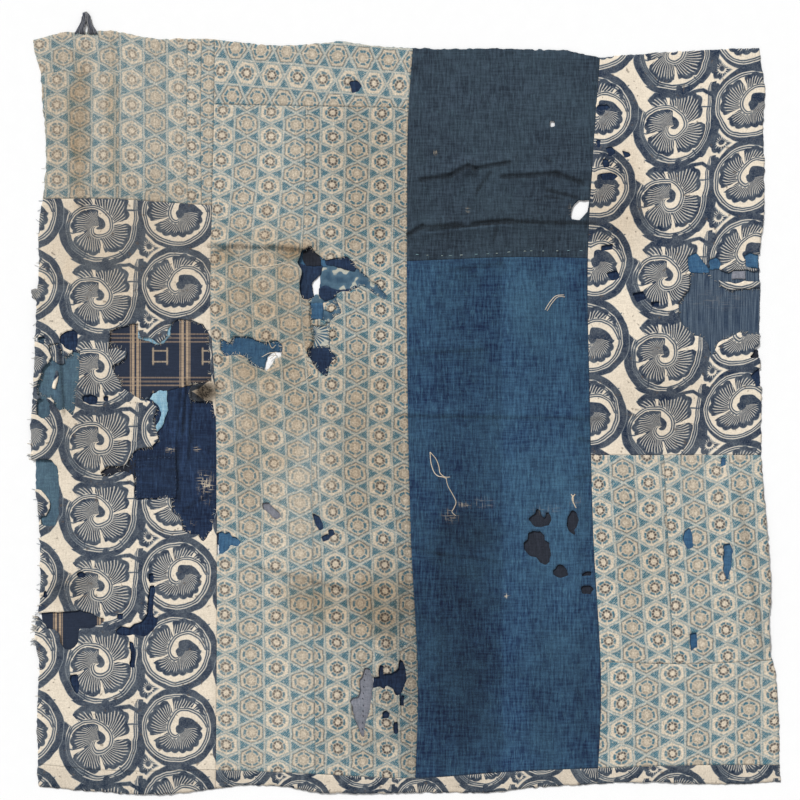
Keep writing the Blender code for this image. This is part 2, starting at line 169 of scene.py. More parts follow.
# Sharp creases on the folds' sides: (from x, y, to x, y, height, half width in metres)
CREASES = (
    (422, 180, 450, 176, -0.0036, 0.0034), (450, 176, 468, 166, -0.0044, 0.0034),
    (468, 166, 476, 169, -0.0030, 0.0032), (476, 169, 508, 163, -0.0040, 0.0032),
    (505, 177, 555, 174, -0.0040, 0.0034), (555, 174, 582, 183, -0.0030, 0.0034),
    (490, 173, 478, 190, -0.0012, 0.0030), (478, 190, 475, 196, -0.0008, 0.0030),
    (548, 190, 575, 197, -0.0024, 0.0032), (545, 196, 562, 199, -0.0010, 0.0028),
    (544, 158, 552, 162, -0.0010, 0.0030), (408, 235, 423, 226, -0.0042, 0.0032),
    (424, 227, 460, 225, -0.0022, 0.0030), (430, 231, 475, 226, -0.0014, 0.0026),
    (475, 224, 510, 221, -0.0044, 0.0034), (510, 222, 590, 223, -0.0022, 0.0032),
    (428, 233, 500, 226, 0.0014, 0.0026), (497, 226, 494, 240, -0.0012, 0.0026),
    (410, 416, 592, 419, -0.0010, 0.0030), (410, 354, 480, 350, -0.0008, 0.0030),
    (405, 546, 440, 554, -0.0004, 0.0034), (440, 554, 500, 562, -0.0005, 0.0034),
    (575, 478, 592, 474, -0.0010, 0.0026), (578, 438, 592, 442, -0.0010, 0.0026),
    (300, 348, 320, 378, 0.0016, 0.0050), (186, 384, 183, 430, -0.0022, 0.0030),
    (190, 392, 186, 452, 0.0018, 0.0034), (180, 410, 178, 440, 0.0014, 0.0030),
    (176, 420, 182, 405, -0.0016, 0.0028), (194, 400, 192, 440, -0.0012, 0.0030),
    (177, 450, 179, 498, -0.0016, 0.0026), (138, 458, 176, 457, -0.0010, 0.0022),
    (184, 510, 208, 496, -0.0012, 0.0026), (150, 466, 176, 470, -0.0008, 0.0026),
    (184, 388, 180, 420, 0.0024, 0.0022), (196, 390, 192, 430, 0.0018, 0.0024),
    (176, 418, 174, 447, 0.0014, 0.0022), (188, 430, 183, 470, 0.0016, 0.0024),
    (181, 392, 177, 440, -0.0024, 0.0020), (191, 388, 189, 455, -0.0024, 0.0020),
    (142, 470, 172, 467, 0.0008, 0.0024), (140, 482, 168, 486, 0.0008, 0.0022),
    (158, 462, 155, 494, 0.0006, 0.0022), (200, 446, 212, 462, 0.0010, 0.0024),
    (192, 470, 198, 505, 0.0010, 0.0024), (165, 425, 176, 437, 0.0012, 0.0022),
    (60, 352, 64, 410, -0.0014, 0.0032), (52, 372, 56, 396, 0.0014, 0.0030),
    (215, 252, 240, 246, -0.0014, 0.0030), (270, 247, 304, 252, -0.0022, 0.0030),
    (262, 568, 345, 590, -0.0009, 0.0044), (740, 500, 760, 640, -0.0008, 0.0060),
    (215, 246, 300, 250, -0.0016, 0.0036), (452, 270, 500, 264, -0.0007, 0.0040),
)
RIPPLES = ((38, 0.00042), (17, 0.00022), (8, 0.00008))  # (pixels between, height in metres)

# Worn places: outlines of holes through the face, in pixels
HOLES = {
    "karakusa_left": (
        ((110, 331), (118, 328), (132, 325), (138, 325), (139, 332), (141, 337), (150, 338),
         (156, 343), (160, 344), (163, 340), (168, 336), (169, 328), (172, 323), (178, 320),
         (187, 321), (196, 322), (203, 325), (209, 333), (209, 345), (211, 375), (211, 380),
         (205, 382), (198, 384), (190, 385), (189, 392), (190, 400), (200, 402), (208, 401),
         (213, 402), (214, 412), (219, 430), (220, 500), (214, 515), (212, 530), (206, 537),
         (203, 541), (198, 534), (190, 533), (183, 530), (183, 522), (179, 515), (173, 512),
         (172, 505), (171, 497), (160, 498), (150, 499), (136, 499), (135, 490), (135, 478),
         (133, 474), (125, 471), (116, 472), (110, 475), (103, 476), (101, 473), (108, 466),
         (120, 466), (128, 465), (130, 458), (134, 452), (140, 448), (146, 448), (152, 447),
         (160, 440), (157, 430), (154, 421), (155, 414), (158, 407), (150, 401), (145, 399),
         (140, 398), (135, 396), (130, 392), (122, 387), (120, 380), (115, 372), (112, 366),
         (121, 363), (125, 360), (127, 356), (127, 351), (122, 350), (116, 347), (110, 348)),
        ((50, 346), (58, 344), (62, 350), (64, 356), (68, 358), (75, 350), (80, 351),
         (79, 365), (78, 380), (76, 395), (75, 405), (74, 412), (73, 417), (69, 412),
         (66, 409), (60, 410), (56, 405), (55, 400), (50, 398), (42, 396), (38, 395),
         (38, 385), (40, 378), (45, 368), (50, 362), (52, 356)),
        ((38, 399), (46, 399), (50, 403), (50, 414), (44, 418), (37, 414)),
        ((61, 336), (68, 332), (74, 330), (78, 334), (77, 346), (71, 350), (66, 348),
         (61, 342)),
        ((29, 462), (40, 459), (52, 460), (57, 466), (59, 478), (59, 500), (58, 515),
         (56, 524), (50, 526), (42, 524), (41, 517), (47, 516), (51, 508), (50, 500),
         (45, 493), (42, 489), (29, 487)),
        ((30, 614), (45, 613), (62, 612), (80, 611), (90, 613), (97, 617), (105, 618),
         (105, 621), (97, 625), (90, 628), (80, 627), (78, 630), (78, 640), (75, 646),
         (70, 649), (66, 648), (62, 642), (61, 633), (55, 629), (48, 628), (42, 622),
         (34, 617)),
        ((150, 586), (154, 585), (155, 592), (153, 600), (152, 610), (154, 617), (158, 618),
         (157, 623), (152, 630), (145, 635), (135, 634), (118, 634), (116, 630), (120, 627),
         (130, 628), (135, 624), (142, 622), (146, 617), (149, 608), (149, 597)),
        ((149, 574), (153, 573), (154, 578), (152, 582), (149, 581)),
        ((130, 641), (133, 643), (136, 650), (135, 660), (134, 667), (131, 667), (130, 662),
         (132, 655), (130, 648)),
        ((77, 573), (81, 571), (86, 574), (85, 577), (79, 577)),
        ((71, 675), (77, 675), (78, 682), (79, 690), (77, 693), (72, 686), (70, 680)),
        ((83, 396), (90, 395), (98, 398), (97, 403), (90, 404), (84, 401)),
        ((104, 397), (108, 397), (108, 401), (104, 401)),
        ((36, 338), (45, 337), (44, 343), (37, 342)),
        ((44, 591), (47, 591), (47, 597), (44, 597)),
        ((118, 614), (123, 614), (122, 619), (118, 618)),
    ),
    "kikko_centre_left": (
        ((221, 340), (231, 344), (234, 337), (245, 336), (256, 340), (263, 343), (270, 343),
         (277, 341), (282, 345), (281, 357), (275, 359), (272, 364), (266, 370), (260, 368),
         (250, 364), (248, 358), (240, 354), (230, 355), (225, 357), (220, 350)),
        ((216, 534), (222, 531), (225, 534), (229, 532), (231, 536), (237, 538), (241, 542),
         (237, 546), (231, 545), (228, 549), (222, 553), (216, 554)),
        ((263, 504), (268, 503), (272, 508), (278, 512), (281, 516), (276, 518), (270, 513),
         (265, 509)),
        ((298, 262), (302, 252), (306, 249), (306, 300), (301, 294), (300, 284), (303, 272)),
    ),
    "kikko_centre_right": (
        ((300, 262), (302, 252), (310, 247), (316, 254), (322, 258), (326, 261), (333, 260),
         (340, 258), (347, 257), (353, 262), (356, 266), (362, 272), (370, 280), (378, 285),
         (387, 298), (383, 300), (376, 294), (368, 288), (362, 285), (356, 288), (350, 291),
         (342, 291), (336, 293), (335, 300), (340, 308), (341, 313), (335, 316), (330, 320),
         (329, 330), (329, 345), (332, 352), (336, 357), (331, 362), (328, 368), (327, 376),
         (322, 374), (315, 366), (309, 357), (308, 350), (312, 345), (313, 335), (311, 325),
         (310, 315), (311, 308), (309, 300), (302, 297), (300, 290), (301, 280)),
        ((365, 668), (370, 668), (372, 695), (368, 716), (364, 727), (363, 736), (360, 730),
         (355, 717), (353, 705), (350, 701), (353, 697), (358, 697), (361, 690), (360, 680),
         (363, 675)),
        ((371, 677), (379, 677), (380, 665), (383, 665), (383, 674), (391, 674), (398, 668),
         (400, 660), (403, 662), (407, 680), (404, 687), (402, 692), (397, 695), (393, 688),
         (386, 684), (384, 688), (381, 686), (372, 687)),
        ((400, 695), (404, 695), (404, 705), (400, 705)),
        ((382, 713), (386, 711), (389, 714), (388, 718), (383, 718)),
        ((394, 722), (397, 722), (397, 733), (395, 733)),
        ((386, 101), (391, 101), (392, 105), (389, 108), (386, 106)),
        ((314, 515), (319, 517), (322, 523), (323, 529), (320, 530), (316, 524)),
        ((328, 530), (333, 529), (334, 534), (330, 536)),
        ((322, 537), (327, 534), (329, 538), (324, 540)),
    ),
    "kikko_turned_top": (
        ((350, 82), (356, 81), (361, 86), (358, 92), (353, 92)),
    ),
    "plain_dark_top": (
        ((579, 201), (588, 201), (587, 212), (579, 219), (572, 218), (573, 207)),
        ((551, 122), (554, 122), (554, 126), (551, 126)),
    ),
    "plain_indigo": (
        ((529, 519), (532, 516), (536, 514), (537, 510), (540, 512), (541, 517), (545, 518),
         (546, 511), (549, 513), (551, 520), (549, 525), (545, 525), (541, 527), (537, 527),
         (533, 524)),
        ((524, 543), (528, 541), (529, 533), (533, 531), (540, 531), (544, 535), (544, 541),
         (549, 543), (550, 556), (549, 561), (545, 564), (540, 562), (537, 557), (531, 556),
         (527, 552), (524, 548)),
        ((553, 571), (559, 565), (563, 566), (567, 570), (569, 576), (560, 577), (554, 574)),
        ((567, 524), (568, 517), (572, 510), (576, 513), (578, 520), (576, 526), (573, 530),
         (574, 534), (571, 532), (568, 528)),
        ((581, 588), (583, 585), (590, 586), (593, 589), (590, 594), (582, 593)),
        ((582, 575), (585, 572), (591, 572), (591, 576)),
    ),
    "karakusa_right": (
        ((690, 274), (700, 273), (708, 273), (712, 277), (716, 281), (720, 285), (726, 289),
         (731, 291), (738, 289), (748, 289), (766, 289), (766, 332), (757, 333), (752, 335),
         (744, 333), (738, 332), (732, 335), (727, 338), (722, 338), (717, 342), (714, 350),
         (716, 354), (710, 355), (708, 346), (707, 342), (703, 337), (694, 335), (690, 333),
         (686, 328), (681, 322), (679, 314), (679, 304), (684, 296), (689, 290), (690, 282)),
        ((688, 257), (696, 253), (701, 259), (706, 267), (709, 272), (689, 272)),
        ((709, 261), (716, 258), (720, 264), (718, 270), (711, 269)),
        ((709, 276), (713, 272), (718, 270), (728, 273), (733, 271), (745, 270), (752, 272),
         (766, 270), (766, 281), (745, 281), (735, 283), (725, 281), (716, 280)),
        ((745, 256), (750, 253), (756, 256), (766, 254), (766, 268), (752, 268), (746, 266)),
        ((751, 357), (756, 348), (766, 340), (766, 357)),
        ((751, 376), (756, 370), (766, 367), (766, 388), (756, 385)),
        ((598, 106), (606, 105), (609, 108), (602, 110), (597, 109)),
        ((596, 141), (600, 140), (600, 147), (596, 148)),
        ((606, 149), (612, 147), (615, 152), (610, 156)),
        ((623, 152), (629, 153), (631, 156), (625, 157)),
        ((603, 160), (608, 160), (609, 166), (604, 168)),
        ((601, 175), (610, 173), (618, 176), (612, 180), (603, 179)),
        ((601, 246), (612, 245), (612, 249), (602, 250)),
        ((607, 273), (616, 271), (619, 277), (612, 281)),
        ((633, 294), (642, 292), (645, 298), (637, 302)),
        ((651, 303), (659, 302), (658, 307), (652, 306)),
    ),
    "kikko_right_outer": (
        ((684, 531), (689, 529), (692, 537), (693, 547), (688, 549), (684, 541)),
        ((724, 545), (729, 543), (732, 552), (730, 570), (727, 581), (723, 570)),
        ((690, 634), (696, 633), (697, 646), (691, 650)),
        ((721, 458), (725, 457), (725, 465), (721, 466)),
    ),
}


def metres(x, y):
    """Frame x and y of a pixel."""
    return (x - MIDDLE[0]) * PIXEL, (MIDDLE[1] - y) * PIXEL


def curve_through(points, at):
    """A smooth curve through the points: Hermite cubics whose slope at each point is the
    mean over its neighbours. It holds its end value past either end."""
    known, value = np.array(points, float).T
    at = np.clip(np.asarray(at, float), known[0], known[-1])
    slope = np.gradient(value, known)
    i = np.clip(np.searchsorted(known, at, side="right") - 1, 0, len(known) - 2)
    step = known[i + 1] - known[i]
    t = (at - known[i]) / step
    return (
        value[i] * (1 + 2 * t) * (1 - t) ** 2
        + value[i + 1] * t * t * (3 - 2 * t)
        + step * slope[i] * t * (1 - t) ** 2
        - step * slope[i + 1] * t * t * (1 - t)
    )


def smooth(t):
    t = np.clip(t, 0, 1)
    return t * t * (3 - 2 * t)


def unevenness(x, y, size, seed):
    """Soft random hills from -1 to 1: random heights on a square net, size pixels wide,
    with smooth steps between them."""
    heights = np.random.default_rng(seed).uniform(-1, 1, (64, 64))
    column, across = np.divmod(np.asarray(x, float) / size, 1)
    row, down = np.divmod(np.asarray(y, float) / size, 1)
    i, j = column.astype(int) % 63, row.astype(int) % 63
    across, down = smooth(across), smooth(down)
    upper = heights[i, j] * (1 - across) + heights[i + 1, j] * across
    lower = heights[i, j + 1] * (1 - across) + heights[i + 1, j + 1] * across
    return upper * (1 - down) + lower * down


def line_place(lines, name, at):
    """Where a named line passes: x for an upright line at height y, y for a level line at
    place x. Outer edges are a little ragged."""
    points = lines[name]
    if lines is UPRIGHT:
        points = [(py, px) for px, py in points]
    place = curve_through(points, at)
    if name in OUTER_LINES:
        place = place + RAGGED_EDGE * (unevenness(at, 0, 5, 3) + unevenness(at, 9, 2.2, 4))
    return place


def inside_distance(x, y, outline):
    """Pixels from the outline, positive inside: the least distance to its sides, with the
    sign from how often a level ray crosses them."""
    corners = np.array(outline, float)
    nearest = np.full(x.shape, 1e9)
    crossed = np.zeros(x.shape, bool)
    for (ax, ay), (bx, by) in zip(corners, np.roll(corners, -1, axis=0)):
        long = (bx - ax) ** 2 + (by - ay) ** 2
        t = np.clip(((x - ax) * (bx - ax) + (y - ay) * (by - ay)) / long, 0, 1)
        nearest = np.minimum(nearest, np.hypot(x - ax - t * (bx - ax), y - ay - t * (by - ay)))
        if ay != by:
            meets = ((y < ay) != (y < by)) & (x < ax + (y - ay) / (by - ay) * (bx - ax))
            crossed ^= meets
    return np.where(crossed, nearest, -nearest)


def fold_height(x, y, fold):
    """Height of one fold or crease: a bell across it, tapered at its two ends."""
    x0, y0, x1, y1, height, half_width = fold
    run = np.array([x1 - x0, y1 - y0], float)
    long = math.hypot(*run)
    along = ((x - x0) * run[0] + (y - y0) * run[1]) / long**2
    aside = ((x - x0) * run[1] - (y - y0) * run[0]) / long * PIXEL
    ends = smooth((along + FOLD_TAPER) / FOLD_TAPER) * smooth((1 + FOLD_TAPER - along) / FOLD_TAPER)
    return height * ends * np.exp(-((aside / half_width) ** 2))


def face_height(x, y):
    """Height of the face cloth's underside: lifted over the scraps, with slow waves, folds
    and their creases, and small ripples. It stays on or over the floor."""
    lift = np.zeros_like(x)
    for px, py, half_width, half_height in SCRAP_BOXES:
        past = np.maximum(abs(x - px) - half_width, abs(y - py) - half_height)
        lift = np.maximum(lift, smooth((LIFT_REACH + LIFT_FALL - past) / LIFT_FALL))
    wave = sum(
        np.sin(2 * math.pi * PIXEL * (x / wide + y / tall) + phase) for wide, tall, phase in WAVES
    ) / len(WAVES)
    height = LIFT_OVER_SCRAPS * lift
    height = height + WAVE_HEIGHT * np.clip((wave - WAVE_LEVEL + 0.5) / 1.2, 0, 1) ** 1.5
    height = height + sum(fold_height(x, y, fold) for fold in FOLDS)
    sharp = sum(fold_height(x, y, crease) for crease in CREASES)
    ripple = sum(
        high * (1 + unevenness(x, y, size, 20 + count)) for count, (size, high) in enumerate(RIPPLES)
    )
    return np.maximum(height + sharp, LIFT_OVER_SCRAPS * lift) + ripple


# Materials

def ink(hex_colour):
    """Linear colour of an sRGB hex colour."""
    parts = [int(hex_colour[k:k + 2], 16) / 255 for k in (0, 2, 4)]
    linear = [c / 12.92 if c <= 0.04045 else ((c + 0.055) / 1.055) ** 2.4 for c in parts]
    return (*linear, 1.0)


def add(tree, kind, *inputs, out=0, **settings):
    """A shader node of this kind: settings are its own, and each input in order is a socket
    to link, a value to set or None to leave. Returns one of its outputs."""
    node = tree.nodes.new("ShaderNode" + kind)
    for name, value in settings.items():
        setattr(node, name, value)
    for socket, value in zip(node.inputs, inputs):
        if isinstance(value, bpy.types.NodeSocket):
            tree.links.new(value, socket)
        elif value is not None:
            socket.default_value = value
    return node.outputs[out]


def finish_cloth(name, tree, colour, bump_height, strength=0.35):
    """Closes a cloth's material: matt, with a little sheen, its yarns raised by bump."""
    shader = tree.nodes["Principled BSDF"]
    shader.inputs["Roughness"].default_value = 0.88
    shader.inputs["Specular IOR Level"].default_value = 0.18
    shader.inputs["Sheen Weight"].default_value = 0.08
    shader.inputs["Sheen Roughness"].default_value = 0.6
    tree.links.new(colour, shader.inputs["Base Color"])
    bump = add(tree, "Bump", strength, 0.0006, None, bump_height)
    tree.links.new(bump, shader.inputs["Normal"])


def start_material(name):
    """An empty cloth material: (material, node tree)."""
    made = bpy.data.materials.new(name)
    made.use_nodes = True
    return made, made.node_tree


def yarns(tree, warp_scale, weft_scale):
    """Uneven hand-spun yarns: noise drawn out along the warp, and noise drawn out along the
    weft, both from 0 to 1. The real yarns are 0.5 mm apart, so they are drawn as slubs of
    3 to 6 mm that a picture of this size can hold."""
    place = add(tree, "TexCoord", out=3)
    warp_place = add(tree, "Mapping", place, None, None, (warp_scale, warp_scale / 9, 1))
    weft_place = add(tree, "Mapping", place, None, None, (weft_scale / 9, weft_scale, 1))
    warp = add(tree, "TexNoise", warp_place, None, 1.0, 3.0, 0.6)
    weft = add(tree, "TexNoise", weft_place, None, 1.0, 3.0, 0.6)
    return warp, weft


def worn_ink(tree, print_share, amount=0.25):
    """How much ink is left: the print's own share, thinned by fading, by uneven printing and
    by the yarns that it is rubbed off first."""
    place = add(tree, "TexCoord", out=3)
    blotch = add(tree, "TexNoise", place, None, 48.0, 4.0, 0.65)
    fleck = add(tree, "TexNoise", place, None, 420.0, 2.0, 0.6)
    fade = add(tree, "Attribute", attribute_name="fade", out=2)
    rubbed = add(tree, "Math", add(tree, "MapRange", blotch, 0.35, 0.75), amount, operation="MULTIPLY")
    flecks = add(tree, "Math", add(tree, "MapRange", fleck, 0.45, 0.8), amount, operation="MULTIPLY")
    lost = add(tree, "Math", add(tree, "Math", rubbed, flecks, operation="ADD"), fade,
               operation="ADD", use_clamp=True)
    left = add(tree, "Math", 1.0, lost, operation="SUBTRACT")
    return add(tree, "Math", print_share, left, operation="MULTIPLY")


def aged(tree, colour, stain_colour, grain_share=0.10):
    """The colour under its stains, with its slow changes of tone, its yarns, the grain of
    their crossings and the pale fibre where it is rubbed bare."""
    stain = add(tree, "Attribute", attribute_name="stain", out=2)
    # shade holds the patches of tone and also painted shade in the creases and a painted highlight on their
    # ridges.
    shade = add(tree, "Attribute", attribute_name="shade", out=2)
    rub = add(tree, "Attribute", attribute_name="rub", out=2)
    place = add(tree, "TexCoord", out=3)
    cloud = add(tree, "TexNoise", place, None, 26.0, 4.0, 0.6)
    grain = add(tree, "TexNoise", place, None, 380.0, 2.0, 0.7)
    warp, weft = yarns(tree, 420, 380)
    flecks = add(tree, "Math", warp, weft, operation="MAXIMUM")
    bare = add(tree, "Math", rub, add(tree, "MapRange", flecks, 0.56, 0.62), operation="MULTIPLY")
    colour = add(tree, "MixRGB", bare, colour, ink("CDBFA8"))
    edge = add(tree, "Math", stain, add(tree, "MapRange", cloud, 0.3, 0.7, 0.6, 1.3), operation="MULTIPLY",
               use_clamp=True)
    stained = add(tree, "MixRGB", edge, colour, ink(stain_colour), blend_type="MULTIPLY")
    tone = add(tree, "Math", add(tree, "MapRange", cloud, 0.25, 0.75, -0.05, 0.05),
               add(tree, "MapRange", warp, 0.3, 0.7, 0.95, 1.05), operation="ADD")
    tone = add(tree, "Math", tone, add(tree, "MapRange", weft, 0.3, 0.7, -0.04, 0.04), operation="ADD")
    tone = add(tree, "Math", tone, add(tree, "MapRange", grain, 0.3, 0.7, -grain_share, grain_share),
               operation="ADD")
    tone = add(tree, "Math", tone, shade, operation="ADD")
    shaded = add(tree, "MixRGB", 1.0, stained, add(tree, "CombineXYZ", tone, tone, tone),
                 blend_type="MULTIPLY")
    height = add(tree, "Math", add(tree, "Math", warp, weft, operation="ADD"), grain,
                 operation="ADD")
    return shaded, height


KIKKO_PITCH = (24.6, 22.4, 22.4)  # pixels between rules, in each of their three directions


def kikko_print():
    """Tortoiseshell print: hexagons edge to edge with triangles between, each hexagon with
    a ringed flower. The eye sees soft blue rules, teal triangles and blue and brown rings,
    washed pale on a cream ground."""
    made, tree = start_material("kikko_stencil_printed_cotton")
    place = add(tree, "TexCoord", out=3)
    wobble = add(tree, "TexNoise", place, None, 55.0, 2.0, 0.5, out=1)
    chart = add(tree, "UVMap", uv_map="print")
    loose = add(tree, "VectorMath", wobble, (0.5, 0.5, 0.5), operation="SUBTRACT")
    drift = add(tree, "VectorMath", loose, (0.13, 0.13, 0), operation="MULTIPLY")
    chart = add(tree, "SeparateXYZ", add(tree, "VectorMath", chart, drift, operation="ADD"))
    u, v = chart.node.outputs[:2]
    half = add(tree, "Math", u, 0.5, operation="MULTIPLY")
    ways = (u, add(tree, "Math", v, half, operation="ADD"),
            add(tree, "Math", v, half, operation="SUBTRACT"))
    cells = [add(tree, "Math", way, 0.5, operation="FLOOR") for way in ways]
    for cell, way in zip(cells, ways):
        tree.links.new(add(tree, "Math", way, 0.5, operation="ADD"), cell.node.inputs[0])
    offs = [add(tree, "Math", way, cell, operation="SUBTRACT") for way, cell in zip(ways, cells)]
    odd = add(tree, "Math", cells[1], cells[2], operation="SUBTRACT")
    hexagon = add(tree, "Math", odd, cells[0], 0.5, operation="COMPARE")
    reach = []
    for off, pitch in zip(offs, KIKKO_PITCH):
        edge = add(tree, "Math", 0.5, add(tree, "Math", off, operation="ABSOLUTE"),
                   operation="SUBTRACT")
        reach.append(add(tree, "Math", edge, pitch, operation="MULTIPLY"))
    nearest = add(tree, "Math", reach[0], reach[1], operation="MINIMUM")
    nearest = add(tree, "Math", nearest, reach[2], operation="MINIMUM")
    second = add(tree, "Math", cells[0], 2.0, operation="FLOORED_MODULO")  # 1 in B columns

    across = add(tree, "Math", offs[0], 24.6, operation="MULTIPLY")
    down = add(tree, "Math", add(tree, "Math", offs[1], offs[2], operation="ADD"), 12.8,
               operation="MULTIPLY")
    radius = add(tree, "VectorMath", add(tree, "CombineXYZ", across, down), operation="LENGTH",
                 out=1)
    angle = add(tree, "Math", down, across, operation="ARCTAN2")
    six = add(tree, "Math", add(tree, "Math", angle, 6.0, operation="MULTIPLY"),
              operation="COSINE")
    eight = add(tree, "Math", add(tree, "Math", angle, 8.0, operation="MULTIPLY"),
                operation="COSINE")

    triangle = add(tree, "Math", add(tree, "MapRange", nearest, 0.7, 1.6),
                   add(tree, "Math", 1.0, hexagon, operation="SUBTRACT"), operation="MULTIPLY")
    ring_middle = add(tree, "MapRange", second, 0.0, 1.0, 6.5, 6.8)
    from_ring = add(tree, "Math", add(tree, "Math", radius, ring_middle, operation="SUBTRACT"),
                    operation="ABSOLUTE")
    ring = add(tree, "Math", add(tree, "MapRange", from_ring, 0.7, 1.7, 1.0, 0.0),
               add(tree, "MapRange", six, -1.0, -0.6, 0.15, 1.0), operation="MULTIPLY")
    ring = add(tree, "Math", ring, hexagon, operation="MULTIPLY")
    blue = add(tree, "Math", triangle, ring, operation="MAXIMUM")

    flower = add(tree, "Math", add(tree, "Math", radius, 3.8, operation="SUBTRACT"),
                 operation="ABSOLUTE")
    heart = add(tree, "Math", add(tree, "MapRange", flower, 0.6, 1.6, 1.0, 0.0),
                add(tree, "MapRange", eight, -0.9, 0.1, 0.6, 1.0), operation="MULTIPLY")
    heart = add(tree, "Math", heart, add(tree, "MapRange", second, 0.0, 1.0, 1.0, 0.34),
                operation="MULTIPLY")
    from_frame = add(tree, "Math", add(tree, "Math", nearest, 1.9, operation="SUBTRACT"),
                     operation="ABSOLUTE")
    frame_line = add(tree, "Math", add(tree, "MapRange", from_frame, 0.2, 0.9, 0.62, 0.0),
                     second, operation="MULTIPLY")
    brown = add(tree, "Math", add(tree, "Math", heart, frame_line, operation="MAXIMUM"), hexagon,
                operation="MULTIPLY")

    inside = add(tree, "Math", hexagon, add(tree, "MapRange", nearest, 1.1, 2.5),
                 operation="MULTIPLY")
    cream = add(tree, "MixRGB", second, ink("D9CAB4"), ink("CBBDA8"))
    colour = add(tree, "MixRGB", inside, ink("8B9C9E"), cream)
    colour = add(tree, "MixRGB", add(tree, "MapRange", nearest, 0.2, 1.0, 0.7, 0.0), colour,
                 ink("CEC5B4"))
    colour = add(tree, "MixRGB", worn_ink(tree, blue, 0.22), colour, ink("24697E"))
    rungs = add(tree, "Math", add(tree, "Math", across, down, operation="ADD"), 2.7,
                operation="MULTIPLY")
    rungs = add(tree, "Math", add(tree, "MapRange", add(tree, "Math", rungs, operation="SINE"),
                                  0.2, 0.9, 0.0, 0.34),
                add(tree, "MapRange", nearest, 2.6, 4.2, 1.0, 0.0), operation="MULTIPLY")
    colour = add(tree, "MixRGB", rungs, colour, ink("CBC4B4"))
    colour = add(tree, "MixRGB", worn_ink(tree, brown, 0.16), colour, ink("2B2A33"))
    fleck = add(tree, "TexNoise", place, None, 300.0, 3.0, 0.75)
    colour = add(tree, "MixRGB", add(tree, "MapRange", fleck, 0.55, 0.68, 0.0, 0.6), colour,
                 ink("EADFCB"))
    colour = add(tree, "MixRGB", add(tree, "MapRange", fleck, 0.45, 0.32, 0.0, 0.5), colour,
                 ink("5E6262"))
    colour, height = aged(tree, colour, "BCA078", 0.25)
    finish_cloth(made.name, tree, colour, height)
    return made


# The scroll print's two scrolls, as (share of a turn, radius in pixels). The first is read
# clockwise from its right, and the second counterclockwise.
FAR = 63.0  # a radius outside every scroll
FIRST_SCROLL = {
    "vine": ((0, 37.6), (0.125, 38.6), (0.25, 37), (0.375, 35), (0.5, 33.6), (0.57, 33),
             (0.59, FAR), (0.86, FAR), (0.88, 54), (0.94, 42), (1, 37.6)),
    "spiral": ((0, 33.4), (0.125, 34.4), (0.25, 32.8), (0.375, 31.4), (0.5, 30), (0.56, 27),
               (0.606, 24), (0.672, 19.4), (0.745, 16), (0.81, 13), (0.895, 11.2), (1, 10.2)),
    "curl": ((0, 10.2), (0.1, 9.8), (0.21, 9), (0.31, 8), (0.42, 5.4), (0.48, 3), (0.52, 0),
             (1, 0)),
    "hook": ((0, 5.4), (0.125, 4.2), (0.25, 3.4), (0.4, 3.4), (0.44, 0), (0.7, 0), (0.73, 9.5),
             (0.78, 8.4), (0.84, 7.4), (0.92, 6.4), (1, 5.4)),
    "inner_leaf": ((0, 30.5), (0.04, 33), (0.096, 33), (0.166, 29.5), (0.216, 26), (0.222, 13),
                   (0.234, 13), (0.24, 27), (0.29, 30), (0.33, 31), (0.39, 30), (0.424, 27),
                   (0.43, 15), (0.442, 14), (0.448, 25), (0.54, 27), (0.58, 25), (0.62, 21),
                   (0.7, 17), (0.745, 16), (0.755, 0), (1, 0)),
    "outer_leaf": ((0, 0), (0.612, 0), (0.622, 36), (0.645, 37), (0.676, 34.5), (0.708, 32),
                   (0.714, 19), (0.724, 19), (0.73, 30), (0.78, 33), (0.817, 36), (0.867, 39),
                   (0.913, 35), (0.966, 29), (0.972, 14), (0.982, 14), (0.988, 28), (1, 30.5)),
}
SECOND_SCROLL = {
    "vine": ((0, 32), (0.125, 32), (0.25, 32.4), (0.375, 35), (0.5, 36.8), (0.625, 35.8),
             (0.75, 33.6), (0.875, 32.2), (1, 32)),
    "spiral": ((0, 26.8), (0.05, 24), (0.095, 21.5), (0.14, 19), (0.19, 16.6), (0.25, 13.4),
               (0.317, 10.6), (0.41, 8.6), (0.52, 8), (0.625, 7.6), (0.72, 6.5), (0.78, 3),
               (0.82, 0), (1, 0)),
    "curl": ((0, 0), (1, 0)),
    "hook": ((0, 22.5), (0.05, 18.6), (0.1, 15.4), (0.15, 12.4), (0.24, 9), (0.3, 3), (0.6, 3),
             (0.72, 5), (0.8, 6), (1, 6)),
    "inner_leaf": ((0, 0), (1, 0)),
    "outer_leaf": ((0, 0), (0.05, 0), (0.06, 28.5), (0.1, 30), (0.138, 31), (0.143, 18),
                   (0.152, 18), (0.157, 31), (0.2, 31.5), (0.25, 30), (0.29, 27), (0.296, 15),
                   (0.308, 15), (0.315, 27), (0.375, 30.5), (0.46, 31.5), (0.52, 31), (0.546, 28),
                   (0.552, 10), (0.564, 10), (0.57, 28), (0.62, 28), (0.7, 25), (0.75, 23.6),
                   (0.8, 24), (0.9, 24.5), (0.96, 23.5), (1, 22.5)),
}
VINE_WIDTH = 6.8
COMB_LINES = 56.0  # pale comb lines round a whole turn
COMB_PALE = 0.82
LEAF_LOBES = 18.0
SCROLL_REPEAT = (154.0, 73.5)  # pixels from one first scroll to the next, across and down
SECOND_OFFSET = (0.52, -0.18)  # the second scroll from the first, in repeats


